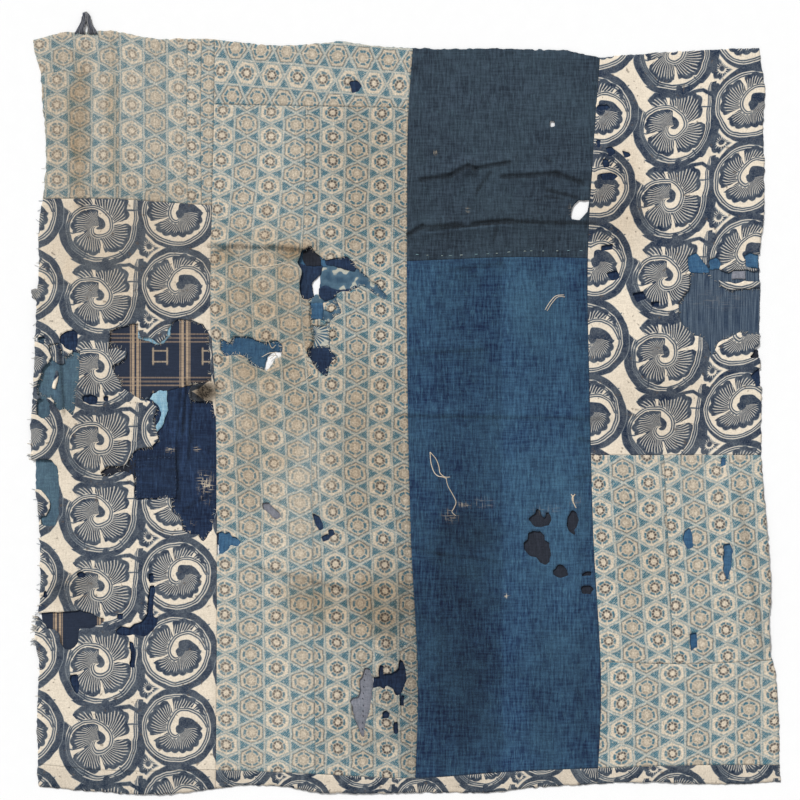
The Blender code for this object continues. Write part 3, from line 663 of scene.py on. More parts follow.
def radius_at(tree, turn, stations):
    """A radius that goes round with the turn through the stations."""
    share = add(tree, "FloatCurve", 1.0, turn)
    mapping = share.node.mapping
    points = mapping.curves[0].points
    points[0].location = (stations[0][0], stations[0][1] / FAR)
    points[1].location = (stations[-1][0], stations[-1][1] / FAR)
    for place, radius in stations[1:-1]:
        points.new(place, radius / FAR)
    for point in points:
        point.handle_type = "AUTO_CLAMPED"
    mapping.update()
    return add(tree, "Math", share, FAR, operation="MULTIPLY")


def band(tree, radius, start, width):
    """1 where the radius is past start by 0 to width pixels, with soft edges."""
    past = add(tree, "Math", radius, start, operation="SUBTRACT")
    return add(tree, "Math", add(tree, "MapRange", past, -0.45, 0.45),
               add(tree, "MapRange", past, width - 0.45, width + 0.45, 1.0, 0.0), operation="MULTIPLY")


def leaf(tree, radius, start, end, comb):
    """A leaf from radius start to end, with pale comb lines from its root to near its tip.
    comb runs from -1, between lines, to 1, on a line."""
    rooted = add(tree, "MapRange", add(tree, "Math", radius, start, operation="SUBTRACT"),
                 0.2, 1.2)
    from_end = add(tree, "Math", end, radius, operation="SUBTRACT")
    body = add(tree, "Math", rooted, add(tree, "MapRange", from_end, -0.5, 0.5),
               operation="MULTIPLY")
    lined = add(tree, "Math", add(tree, "MapRange", comb, 0.15, 0.9, 0.0, COMB_PALE),
                add(tree, "MapRange", from_end, 3.4, 5.4), operation="MULTIPLY")
    return add(tree, "Math", body, add(tree, "Math", 1.0, lined, operation="SUBTRACT"),
               operation="MULTIPLY")


def scroll(tree, across, down, stations, clockwise):
    """The dark share of one scroll and the radius from its eye: two leaves inside and outside
    a spiral, the hook of the inner leaf, the spiral's double line and the vine round all."""
    radius = add(tree, "VectorMath", add(tree, "CombineXYZ", across, down),
                 operation="LENGTH", out=1)
    falling = down if clockwise else add(tree, "Math", down, -1.0, operation="MULTIPLY")
    angle = add(tree, "Math", falling, across, operation="ARCTAN2")
    turn = add(tree, "Math", add(tree, "Math", angle, 2 * math.pi, operation="DIVIDE"), 1.0,
               operation="FLOORED_MODULO")
    combing = add(tree, "Math", angle, add(tree, "Math", radius, 0.012, operation="MULTIPLY"),
                  operation="ADD")
    comb = add(tree, "Math", add(tree, "Math", combing, COMB_LINES, operation="MULTIPLY"),
               operation="COSINE")
    lobes = add(tree, "Math", add(tree, "Math", angle, LEAF_LOBES / 2, operation="MULTIPLY"),
                operation="COSINE")
    lobes = add(tree, "Math", add(tree, "Math", lobes, operation="ABSOLUTE"), 2.0,
                operation="MULTIPLY")
    lines = {name: radius_at(tree, turn, stations[name]) for name in stations}
    uneven = add(tree, "Math", add(tree, "Math", radius, 1.1, operation="ADD"), lobes,
                 operation="SUBTRACT")
    past_curl = add(tree, "Math", lines["curl"], 3.6, operation="ADD")
    past_curl = add(tree, "Math", past_curl,
                    add(tree, "Math", lines["curl"], 0.5, operation="GREATER_THAN"),
                    operation="MULTIPLY")
    inner = leaf(tree, radius, past_curl, add(tree, "Math", lines["inner_leaf"], lobes,
                                              operation="ADD"), comb)
    within = add(tree, "Math", add(tree, "Math", lines["spiral"], 1.0, operation="SUBTRACT"),
                 radius, operation="GREATER_THAN")
    dark = add(tree, "Math", inner, within, operation="MULTIPLY")
    past_spiral = add(tree, "Math", lines["spiral"], 3.2, operation="ADD")
    outer = leaf(tree, uneven, past_spiral, lines["outer_leaf"], comb)
    hook = add(tree, "MapRange", add(tree, "Math", lines["hook"], radius, operation="SUBTRACT"),
               -0.4, 0.4)
    bands = [outer, hook, band(tree, radius, lines["vine"], VINE_WIDTH)]
    for line, insets in (("spiral", (0.0, 2.3)), ("curl", (0.0, 2.3)), ("vine", (-4.4, -2.3))):
        shown = add(tree, "Math", lines[line], 2.6, operation="GREATER_THAN")
        for inset in insets:
            start = add(tree, "Math", lines[line], inset, operation="ADD")
            bands.append(add(tree, "Math", band(tree, radius, start, 1.35), shown,
                             operation="MULTIPLY"))
    for more in bands:
        dark = add(tree, "Math", dark, more, operation="MAXIMUM")
    return dark, radius


# Dark strokes of the first scroll: (from across, down, to across, down, half width in pixels)
FIRST_STROKES = (
    (41, 20, 43.5, 2, 4.2), (43.5, 2, 42.5, -18, 3.8), (42.5, -18, 45, -34, 3.4),
    (7, -37, 7, -30, 3.6), (4, -31, 12, -30, 2.4), (12, -30, 22, -32.5, 1.9),
    (22, -32.5, 31, -33.5, 1.8), (31, -33.5, 38, -29, 1.8), (38, -29, 43, -26, 2.4),
    (-22, -27, -17, -31, 2.4), (-17, -31, -4, -30, 2.0), (29, -16, 39, -16, 0.7),
    (-26, 8, -33, 7, 0.6), (-14, 27, -15, 35, 0.8), (21, 26, 25, 31, 0.7),
)


def stroke(tree, place, ends):
    """1 within half width of a straight stroke: the distance from the place to the nearest
    point between its two ends, with a soft edge."""
    x0, y0, x1, y1, half_width = ends
    run = (x1 - x0, y1 - y0, 0)
    long = run[0] ** 2 + run[1] ** 2
    from_start = add(tree, "VectorMath", place, (x0, y0, 0), operation="SUBTRACT")
    share = add(tree, "VectorMath", from_start, (run[0] / long, run[1] / long, 0),
                operation="DOT_PRODUCT", out=1)
    share = add(tree, "Math", share, 0.0, operation="ADD", use_clamp=True)
    there = add(tree, "VectorMath", run, None, None, share, operation="SCALE")
    gap = add(tree, "VectorMath", from_start, there, operation="DISTANCE", out=1)
    return add(tree, "MapRange", gap, half_width - 0.5, half_width + 0.5, 1.0, 0.0)


def repeat_of(tree, way, offset, early, pitch):
    """Pixels from the middle of the nearest repeat along one way of the chart."""
    moved = add(tree, "Math", way, offset, operation="SUBTRACT")
    cell = add(tree, "Math", add(tree, "Math", moved, 0.5 + early, operation="ADD"),
               operation="FLOOR")
    return add(tree, "Math", add(tree, "Math", moved, cell, operation="SUBTRACT"), pitch,
               operation="MULTIPLY")


def karakusa_print(name, ground, dark_ink):
    """Scroll print: two spiralling leaf scrolls that repeat, ringed by vines. The eye sees
    slate navy leaves with pale comb lines on warm cream, rubbed where the cloth was handled."""
    made, tree = start_material(name)
    place = add(tree, "TexCoord", out=3)
    wobble = add(tree, "TexNoise", place, None, 30.0, 2.0, 0.5, out=1)
    loose = add(tree, "VectorMath", wobble, (0.5, 0.5, 0.5), operation="SUBTRACT")
    drift = add(tree, "VectorMath", loose, (0.030, 0.062, 0), operation="MULTIPLY")
    chart = add(tree, "UVMap", uv_map="print")
    chart = add(tree, "SeparateXYZ", add(tree, "VectorMath", chart, drift, operation="ADD"))
    u, v = chart.node.outputs[:2]
    across = repeat_of(tree, u, 0.0, 0.0, SCROLL_REPEAT[0])
    down = repeat_of(tree, v, 0.0, 0.044, SCROLL_REPEAT[1])
    first, _ = scroll(tree, across, down, FIRST_SCROLL, True)
    in_first = add(tree, "CombineXYZ", across, down)
    for ends in FIRST_STROKES:
        first = add(tree, "Math", first, stroke(tree, in_first, ends), operation="MAXIMUM")
    above = add(tree, "Math", down, SCROLL_REPEAT[1], operation="ADD")
    from_above = add(tree, "VectorMath", add(tree, "CombineXYZ", across, above),
                     operation="LENGTH", out=1)
    for start, width in ((37.2, 6.4), (34.9, 1.35), (32.8, 1.35)):
        first = add(tree, "Math", first, band(tree, from_above, start, width),
                    operation="MAXIMUM")
    aside = repeat_of(tree, u, SECOND_OFFSET[0], 0.0, SCROLL_REPEAT[0])
    lower = repeat_of(tree, v, SECOND_OFFSET[1], 0.0, SCROLL_REPEAT[1])
    second, second_radius = scroll(tree, aside, lower, SECOND_SCROLL, False)
    in_second = add(tree, "MapRange", second_radius, 38.5, 39.5, 1.0, 0.0)
    dark = add(tree, "MixRGB", in_second, first, second)

    leaf_across = add(tree, "Math", across, -50.0, operation="ADD")
    leaf_down = add(tree, "Math", down, -22.0, operation="ADD")
    leaf_radius = add(tree, "VectorMath", add(tree, "CombineXYZ", leaf_across, leaf_down),
                      operation="LENGTH", out=1)
    leaf_angle = add(tree, "Math", leaf_down, leaf_across, operation="ARCTAN2")
    leaf_comb = add(tree, "Math", add(tree, "Math", leaf_angle, 16.0, operation="MULTIPLY"),
                    operation="COSINE")
    scallop = add(tree, "Math", add(tree, "Math", leaf_angle, 4.0, operation="MULTIPLY"),
                  operation="COSINE")
    scallop = add(tree, "Math", add(tree, "Math", scallop, operation="ABSOLUTE"), 1.6,
                  operation="MULTIPLY")
    small = leaf(tree, leaf_radius, 0.0, add(tree, "Math", scallop, 10.2, operation="ADD"),
                 leaf_comb)
    opening = add(tree, "Math", band(tree, leaf_radius, 3.0, 1.7),
                  add(tree, "MapRange", leaf_down, -0.5, 1.0), operation="MULTIPLY")
    small = add(tree, "Math", small, opening, operation="SUBTRACT", use_clamp=True)
    small = add(tree, "Math", small, add(tree, "MapRange", leaf_radius, 2.2, 3.0, 1.0, 0.0),
                operation="MAXIMUM")
    outside = add(tree, "MapRange", second_radius, 41.0, 43.0)
    small = add(tree, "Math", small, outside, operation="MULTIPLY")
    dark = add(tree, "Math", dark, small, operation="MAXIMUM")

    printed = worn_ink(tree, dark, 0.17)
    colour = add(tree, "MixRGB", add(tree, "MapRange", printed, 0.0, 0.5), ink(ground),
                 ink("888F93"))
    colour = add(tree, "MixRGB", add(tree, "MapRange", printed, 0.5, 1.0), colour,
                 ink(dark_ink))
    spots = add(tree, "TexNoise", place, None, 120.0, 1.0, 0.5)
    colour = add(tree, "MixRGB", add(tree, "MapRange", spots, 0.69, 0.75, 0.0, 0.6), colour,
                 ink("5F5650"))
    colour, height = aged(tree, colour, "B0997C", 0.15)
    finish_cloth(made.name, tree, colour, height)
    return made


def plain_weave(name, dark, light, bloom, warp_scale=300, weft_scale=260):
    """Plain woven cotton dyed in the yarn: uneven streaks along the warp, fainter ones along
    the weft, and slow cloudy changes. The eye sees a matt deep colour with slubs."""
    made, tree = start_material(name)
    warp, weft = yarns(tree, warp_scale, weft_scale)
    place = add(tree, "TexCoord", out=3)
    cloud = add(tree, "TexNoise", place, None, 9.0, 3.0, 0.6)
    slub_place = add(tree, "Mapping", place, None, None, (420, 60, 1))
    slub = add(tree, "TexNoise", slub_place, None, 1.0, 1.0, 0.5)
    mixed = add(tree, "Math", add(tree, "MapRange", warp, 0.41, 0.60, 0.0, 0.6),
                add(tree, "MapRange", weft, 0.41, 0.60, 0.0, 0.4), operation="ADD")
    colour = add(tree, "MixRGB", mixed, ink(dark), ink(light))
    colour = add(tree, "MixRGB", add(tree, "MapRange", cloud, 0.42, 0.7, 0.0, 0.22), colour, ink(bloom))
    colour = add(tree, "MixRGB", add(tree, "MapRange", slub, 0.60, 0.72, 0.0, 0.40), colour, ink(bloom))
    fade = add(tree, "Attribute", attribute_name="fade", out=2)
    faded = add(tree, "Math", fade, add(tree, "MapRange", warp, 0.3, 0.65, 0.55, 1.25), operation="MULTIPLY",
                use_clamp=True)
    colour = add(tree, "MixRGB", faded, colour, ink(bloom))
    colour, height = aged(tree, colour, "8A7A70", 0.17)
    finish_cloth(made.name, tree, colour, height)
    return made


PLAID_REPEAT = (49.5, 43.5)  # pixels between bars, across and down


def kasuri_plaid():
    """Woven plaid with kasuri squares: cream double bars up the cloth, brown-grey triple
    lines across it and a small cream square in each field, on navy."""
    made, tree = start_material("kasuri_plaid_yarn_dyed_cotton")
    chart = add(tree, "UVMap", uv_map="print")
    chart = add(tree, "SeparateXYZ", chart)
    u, v = chart.node.outputs[:2]
    across = repeat_of(tree, u, 0.0, 0.0, PLAID_REPEAT[0])
    down = repeat_of(tree, v, 0.0, 0.0, PLAID_REPEAT[1])
    field_across = add(tree, "Math", repeat_of(tree, u, 0.5, 0.0, PLAID_REPEAT[0]),
                       operation="ABSOLUTE")
    field_down = add(tree, "Math", repeat_of(tree, v, 0.42, 0.0, PLAID_REPEAT[1]),
                     operation="ABSOLUTE")
    warp, weft = yarns(tree, 420, 420)
    colour = add(tree, "MixRGB", weft, ink("1C2536"), ink("2E384B"))
    upright = add(tree, "Math", across, operation="ABSOLUTE")
    bars = add(tree, "Math", band(tree, upright, 1.0, 2.6), band(tree, upright, 4.6, 0.7),
               operation="MAXIMUM")
    level = add(tree, "Math", down, operation="ABSOLUTE")
    lines = add(tree, "Math", add(tree, "MapRange", level, 0.5, 1.3, 0.75, 0.0),
                band(tree, level, 3.2, 1.3), operation="MAXIMUM")
    lines = add(tree, "Math", lines, 0.6, operation="MULTIPLY")
    rough = add(tree, "MapRange", warp, 0.3, 0.7, 0.55, 1.0)
    colour = add(tree, "MixRGB", add(tree, "Math", lines, rough, operation="MULTIPLY"), colour,
                 ink("B29A80"))
    colour = add(tree, "MixRGB", add(tree, "Math", bars, add(tree, "MapRange", weft, 0.3, 0.65, 0.5, 0.95),
                                     operation="MULTIPLY"), colour, ink("BFA78B"))
    side = add(tree, "Math", band(tree, field_across, 6.2, 1.6),
               add(tree, "MapRange", field_down, 7.5, 9.5, 1.0, 0.0), operation="MULTIPLY")
    rail = add(tree, "Math", band(tree, field_down, 4.8, 1.3),
               add(tree, "MapRange", field_across, 7.5, 8.5, 1.0, 0.0), operation="MULTIPLY")
    square = add(tree, "Math", side, rail, operation="MAXIMUM")
    colour = add(tree, "MixRGB", add(tree, "Math", square, rough, operation="MULTIPLY"), colour,
                 ink("B9A78E"))
    colour, height = aged(tree, colour, "8A7A70")
    finish_cloth(made.name, tree, colour, height)
    return made


def hair_stripe():
    """Hair stripe: fine grey-blue warp stripes on dark slate, as noise drawn out along the
    warp. The eye sees soft upright lines 3 mm apart, broken by the yarn's slubs."""
    made, tree = start_material("hair_stripe_yarn_dyed_cotton")
    _, weft = yarns(tree, 300, 200)
    place = add(tree, "TexCoord", out=3)
    drawn = add(tree, "Mapping", place, None, None, (560.0, 16.0, 1.0))
    stripe = add(tree, "TexNoise", drawn, None, 1.0, 2.0, 0.5)
    colour = add(tree, "MixRGB", add(tree, "MapRange", stripe, 0.40, 0.60, 0.0, 0.75),
                 ink("24354C"), ink("667583"))
    colour = add(tree, "MixRGB", add(tree, "MapRange", weft, 0.3, 0.7, 0.0, 0.45), colour, ink("415163"))
    colour, height = aged(tree, colour, "8A7A70")
    finish_cloth(made.name, tree, colour, height)
    return made


def fan_print():
    """Fan print: pale blue arcs with cream ribs and cream blobs, faded. It shows only in
    shreds in the long tear."""
    made, tree = start_material("fan_stencil_printed_cotton")
    chart = add(tree, "UVMap", uv_map="print")
    chart = add(tree, "SeparateXYZ", chart)
    u, v = chart.node.outputs[:2]
    across = add(tree, "Math", u, -312.0, operation="ADD")
    down = add(tree, "Math", v, -333.0, operation="ADD")
    radius = add(tree, "VectorMath", add(tree, "CombineXYZ", across, down), operation="LENGTH",
                 out=1)
    angle = add(tree, "Math", down, across, operation="ARCTAN2")
    ribs = add(tree, "Math", add(tree, "Math", angle, 26.0, operation="MULTIPLY"),
               operation="COSINE")
    ribs = add(tree, "Math", add(tree, "MapRange", ribs, 0.0, 0.7), band(tree, radius, 4.0, 15.0),
               operation="MULTIPLY")
    place = add(tree, "TexCoord", out=3)
    blob = add(tree, "TexNoise", place, None, 62.0, 1.0, 0.4)
    colour = add(tree, "MixRGB", add(tree, "MapRange", blob, 0.35, 0.6, 0.0, 0.9), ink("38546B"),
                 ink("587588"))
    colour = add(tree, "MixRGB", add(tree, "MapRange", blob, 0.60, 0.65, 0.0, 0.9), colour, ink("C4C3B4"))
    colour = add(tree, "MixRGB", ribs, colour, ink("CDCBBE"))
    colour, height = aged(tree, colour, "A08E78")
    finish_cloth(made.name, tree, colour, height)
    return made


def thread_material():
    """Hand-spun cotton yarn: each thread keeps its own colour, a little lighter and darker
    along it where its plies turn."""
    made, tree = start_material("hand_spun_cotton_yarn")
    place = add(tree, "TexCoord", out=3)
    tint = add(tree, "Attribute", attribute_name="tint")
    plies = add(tree, "TexNoise", place, None, 900.0, 1.0, 0.5)
    light = add(tree, "MapRange", plies, 0.3, 0.7, 0.82, 1.1)
    colour = add(tree, "MixRGB", 1.0, tint, add(tree, "CombineXYZ", light, light, light),
                 blend_type="MULTIPLY")
    finish_cloth(made.name, tree, colour, plies, 0.2)
    return made


FINISHES = {
    "kikko": kikko_print(),
    "karakusa": karakusa_print("karakusa_stencil_printed_cotton", "EADDC9", "10243E"),
    "binding": karakusa_print("karakusa_printed_binding", "DACDBA", "10243A"),
    "plain_dark": plain_weave("charcoal_indigo_vat_dyed_cotton", "1D2834", "3B4A58", "4A606C",
                              300, 280),
    "plain_indigo": plain_weave("indigo_vat_dyed_hand_loomed_cotton", "0C1F42", "355673", "4F788E",
                                290, 250),
    "navy": plain_weave("navy_vat_dyed_cotton", "0B1832", "233653", "3A5270", 300, 300),
    "sky": plain_weave("sky_indigo_faded_cotton", "42586A", "55707F", "62808E"),
    "pale_sky": plain_weave("pale_sky_lining_cotton", "6C9AB4", "9CC2D2", "B8D2DA"),
    "mid_blue": plain_weave("mid_indigo_vat_dyed_cotton", "2C4F72", "416A8C", "5A8098"),
    "mauve": plain_weave("mauve_grey_dyed_cotton", "757A84", "8B8C96", "9797A0"),
    "brown_black": plain_weave("brown_black_dyed_cotton", "181C26", "282C37", "363C48"),
    "plaid": kasuri_plaid(),
    "grey_stripe": hair_stripe(),
    "faded_print": fan_print(),
    "stub": thread_material(),
}

# Soft patches of tone over the whole cloth: (x, y, half width, half height, amount)
STAINS = (
    (345, 605, 70, 36, 0.28), (385, 600, 30, 50, 0.25), (310, 600, 30, 24, 0.2),
    (270, 330, 60, 110, 0.42), (250, 470, 45, 60, 0.25), (80, 120, 12, 85, 0.42),
    (113, 120, 8, 75, 0.34), (60, 130, 26, 90, 0.2), (620, 205, 36, 60, 0.30),
    (370, 440, 44, 100, 0.3), (370, 180, 50, 90, 0.22), (640, 560, 30, 60, 0.12),
    (130, 255, 100, 80, 0.30), (90, 430, 50, 60, 0.15), (70, 590, 26, 20, 0.3),
    (350, 735, 30, 24, 0.1), (300, 250, 26, 14, 0.3), (225, 255, 14, 10, 0.3),
    (470, 530, 34, 26, 0.35), (660, 400, 60, 50, 0.12), (203, 392, 18, 13, 0.45),
)
FADES = (
    (300, 490, 40, 70, 0.30), (250, 400, 30, 60, 0.26), (280, 280, 60, 60, 0.20),
    (120, 100, 70, 50, 0.12), (120, 260, 90, 50, 0.06), (700, 480, 60, 40, 0.10),
    (350, 420, 40, 60, 0.10), (310, 75, 100, 30, 0.06), (560, 650, 36, 130, 0.10),
    (555, 340, 36, 90, 0.14), (545, 500, 44, 60, 0.18), (520, 300, 20, 60, 0.2),
    (440, 290, 40, 30, 0.15),
)
RUBS = (
    (450, 515, 9, 8, 0.55), (466, 504, 9, 3, 0.6), (482, 503, 12, 6, 0.22),
    (206, 487, 9, 13, 0.9), (170, 450, 4, 3, 0.9), (197, 449, 4, 2.5, 0.8),
    (193, 522, 3, 3, 0.7), (203, 484, 5, 12, 0.5), (435, 153, 2.5, 3, 0.6), (468, 210, 2.5, 2.5, 0.5),
    (545, 510, 14, 6, 0.12), (575, 500, 8, 8, 0.14), (506, 596, 2.5, 2.5, 0.9),
    (570, 210, 3, 6, 0.35), (718, 300, 30, 10, 0.08),
)
SHADES = (
    (440, 500, 50, 110, -0.14), (440, 660, 70, 130, -0.38), (560, 700, 40, 80, -0.26),
    (440, 330, 50, 80, -0.08), (500, 230, 110, 40, -0.16), (203, 392, 16, 12, -0.9),
    (550, 320, 50, 80, -0.10), (60, 450, 30, 200, -0.04),
    (500, 95, 90, 40, 0.06), (640, 400, 60, 60, -0.05), (130, 745, 100, 26, -0.05),
    (270, 700, 50, 60, 0.03), (700, 120, 70, 60, 0.03), (380, 610, 30, 24, -0.06),
)
# The plain width's own bands of tone along its warp: (x, shade)
WARP_BANDS = (
    (412, 0.06), (434, 0.04), (439, -0.08), (456, -0.06), (460, -0.14), (500, -0.14),
    (504, 0.10), (527, 0.08), (531, 0.0), (551, 0.04), (555, 0.10), (574, 0.06),
    (578, -0.06), (598, -0.08),
)
# Tone of a whole face piece against its finish: (shade, fade)
PIECE_TONES = {
    "kikko_top_left": (-0.08, 0.26), "kikko_strip_outer": (-0.06, 0.14),
    "kikko_strip_inner": (-0.04, 0.10), "kikko_turned_top": (-0.02, 0.0),
    "kikko_centre_left": (-0.01, 0.10), "kikko_centre_right": (-0.09, 0.0),
    "karakusa_left": (-0.02, 0.03), "karakusa_right": (0.02, 0.0),
    "back_over_patch": (-0.16, 0.0),
}


def patches(x, y, table):
    """Sum of soft patches, each a rounded plateau that falls off round its edge, with an
    uneven outline."""
    total = np.zeros_like(x)
    for count, (px, py, half_width, half_height, amount) in enumerate(table):
        far = np.hypot((x - px) / half_width, (y - py) / half_height)
        far = far * (1 + 0.22 * unevenness(x, y, 14, 40 + count))
        total = total + amount * smooth(1.35 - far)
    return total


def crease_painted_shade_and_highlight(x, y):
    """Painted shade in the creases and a painted highlight on their ridges, from the creases' heights:
    darker in the one, lighter on the other."""
    height = sum(fold_height(x, y, crease) for crease in CREASES)
    return np.clip(height / 0.0028, -0.5, 0.3)


def lattice(x, y, x0, y0, wide, tall, lean, tilt):
    """Rows and columns of a print from one flower at (x0, y0): wide and tall pixels apart,
    with its columns leaning and its rows tilted."""
    return (x - x0 - lean * (y - y0)) / wide, (y - y0 - tilt * (x - x0)) / tall


def chart_centre_left(x, y, cx, cy):
    column = curve_through(
        ((100, 271.8), (161.6, 270.4), (259.7, 263.8), (411.9, 271.4), (514.9, 275.1),
         (616.1, 276.1), (720.1, 277.6), (770, 278)), y)
    level = y - 0.03 * (x - column)
    row = np.interp(level, (100, 161.6, 259.7, 411.9, 514.9, 616.1, 720.1, 770),
                    (-2.5, 0, 4, 10, 14, 18, 22, 23.93))
    return (x - column) / np.interp(y, (100, 770), (24.4, 25.8)), row


def chart_centre_right(x, y, cx, cy):
    column = curve_through(
        ((100, 382), (162, 381.7), (233.7, 379.9), (360.5, 381.4), (460.3, 379.7),
         (564.8, 384.4), (643.2, 385.9), (749, 387)), y)
    level = y - 0.02 * (x - column)
    row = np.interp(level, (90, 162, 233.7, 360.5, 460.3, 564.8, 643.2, 749, 801),
                    (-3, 0, 3, 8, 12, 16, 19, 23, 25))
    return (x - column) / 24.5, row


def chart_top_left(x, y, cx, cy):
    """Three pieces joined: a corner, a left width and a right width."""
    corner = lattice(x, y, 86.2, 44.4, 23.4, 24.5, 0.05, 0.0)
    left = lattice(x, y, 57.1, 79.8, 23.2, 25.05, 0.0, 0.0)
    right = lattice(x, y, 132.2, 79.8, 23.4, 25.5, 0.0, 0.18)
    in_right = cx >= 118
    in_corner = (cx < 118) & (cy < 72)
    return tuple(
        np.where(in_right, r, np.where(in_corner, c, k)) for c, k, r in zip(corner, left, right)
    )


def chart_scroll_left(x, y, cx, cy):
    repeat = np.interp(x, (25, 99, 179, 219), (-0.48, 0, 0.52, 0.78))
    row = np.interp(y, (153, 226, 297, 369, 442, 515, 588, 664, 741, 818), np.arange(-1, 9))
    return repeat, row


def chart_scroll_right(x, y, cx, cy):
    column = np.interp(y, (126, 427), (673, 661))
    moved = x - column
    repeat = np.interp(moved, (-77, 0, 78, 104), (-0.5, 0, 0.52, 0.69))
    level = y + curve_through(((-80, 3), (-70, 2), (0, 0), (78, 9), (110, 13)), moved)
    row = np.interp(level, (52, 126, 199, 277, 354, 427, 500), np.arange(-1, 6))
    return repeat, row


CHARTS = {
    "kikko_top_left": chart_top_left,
    "kikko_strip_outer": lambda x, y, cx, cy: lattice(x, y, 191.6, 71.6, 24, 24.9, 0, 0.1),
    "kikko_strip_inner": lambda x, y, cx, cy: lattice(x, y, 184.9, 72.9, 24, 24.4, 0, 0),
    "kikko_turned_top": lambda x, y, cx, cy: lattice(y, x, 75.3, 272.1, 24.5, 25.6, 0.08, -0.08),
    "kikko_centre_left": chart_centre_left,
    "kikko_centre_right": chart_centre_right,
    "kikko_right_inner": lambda x, y, cx, cy: lattice(
        x, y, 653.1, 561.2, 24.98, 26.22, 0.063, -0.023),
    "kikko_right_outer": lambda x, y, cx, cy: lattice(
        x, y, 767.9, 521.5, 24.3, 26.5, 0.06, -0.047),
    "kikko_right_low": lambda x, y, cx, cy: lattice(x, y, 723.2, 723.8, 25.5, 26.61, 0, -0.057),
    "karakusa_left": chart_scroll_left,
    "karakusa_right": chart_scroll_right,
    "binding_left": chart_scroll_left,
    "binding_middle": lambda x, y, cx, cy: (x / 120, (y - 757) / 60),
    "binding_right": lambda x, y, cx, cy: (x / 130 + 0.3, (y - 748) / 66),
}


RAG_CHARTS = {"kikko": chart_centre_right, "karakusa": chart_scroll_left}


def plain_chart(x, y, cx, cy):
    return x, y


def lay_cloth(name, x, y, top, keep, finish, chart, shell, tone=(0.0, 0.0)):
    """A sheet on a grid of pixels (x, y) with its upper surface at top. Cells are kept where
    keep is above nought, and the points round what is kept slide to where keep is nought,
    along its slope. tone is the whole sheet's own (shade, fade)."""
    columns, rows = x.shape
    number = np.arange(columns * rows).reshape(columns, rows)
    corners = np.stack([number[:-1, :-1], number[:-1, 1:], number[1:, 1:], number[1:, :-1]], -1)
    corners = corners.reshape(-1, 4)
    flat_keep = keep.ravel()
    kept = corners[flat_keep[corners].mean(1) > 0]
    dropped = corners[flat_keep[corners].mean(1) <= 0]
    if len(dropped):
        on_border = np.intersect1d(kept, dropped)
        step_x = np.gradient(x, axis=0) + 1e-9
        step_y = np.gradient(y, axis=1) + 1e-9
        slope_x = (np.gradient(keep, axis=0) / step_x).ravel()[on_border]
        slope_y = (np.gradient(keep, axis=1) / step_y).ravel()[on_border]
        size = np.maximum(slope_x**2 + slope_y**2, 0.2)
        slide = np.clip(flat_keep[on_border], -1.2, 1.2) / size
        x, y = x.copy(), y.copy()
        x.ravel()[on_border] -= slide * slope_x
        y.ravel()[on_border] -= slide * slope_y
    used, faces = np.unique(kept, return_inverse=True)
    faces = faces.reshape(-1, 4)
    px, py = x.ravel()[used], y.ravel()[used]
    points = np.stack([*metres(px, py), top.ravel()[used]], -1)
    mesh = bpy.data.meshes.new(name)
    mesh.from_pydata(points, [], faces)
    mesh.shade_smooth()
    centre_x, centre_y = px[faces].mean(1).repeat(4), py[faces].mean(1).repeat(4)
    chart_u, chart_v = chart(px[faces].ravel(), py[faces].ravel(), centre_x, centre_y)
    layer = mesh.uv_layers.new(name="print")
    layer.data.foreach_set("uv", np.stack([chart_u, chart_v], -1).ravel())
    amounts = {
        "stain": patches(px, py, STAINS),
        "fade": patches(px, py, FADES) + tone[1],
        # The shade attribute also takes painted shade in the creases and a painted highlight on their
        # ridges.
        "shade": patches(px, py, SHADES) + crease_painted_shade_and_highlight(px, py) + tone[0],
    }
    if finish == "plain_indigo":
        amounts["shade"] += np.interp(px, *zip(*WARP_BANDS))
    amounts |= {
        "rub": patches(px, py, RUBS),
    }
    for kind, amount in amounts.items():
        values = mesh.attributes.new(kind, "FLOAT", "POINT")
        values.data.foreach_set("value", amount)
    mesh.materials.append(FINISHES[finish])
    made = bpy.data.objects.new(name, mesh)
    bpy.context.scene.collection.objects.link(made)
    thick = made.modifiers.new("cloth", "SOLIDIFY")
    thick.thickness = shell
    thick.offset = -1
    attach(made, "root")
    return made


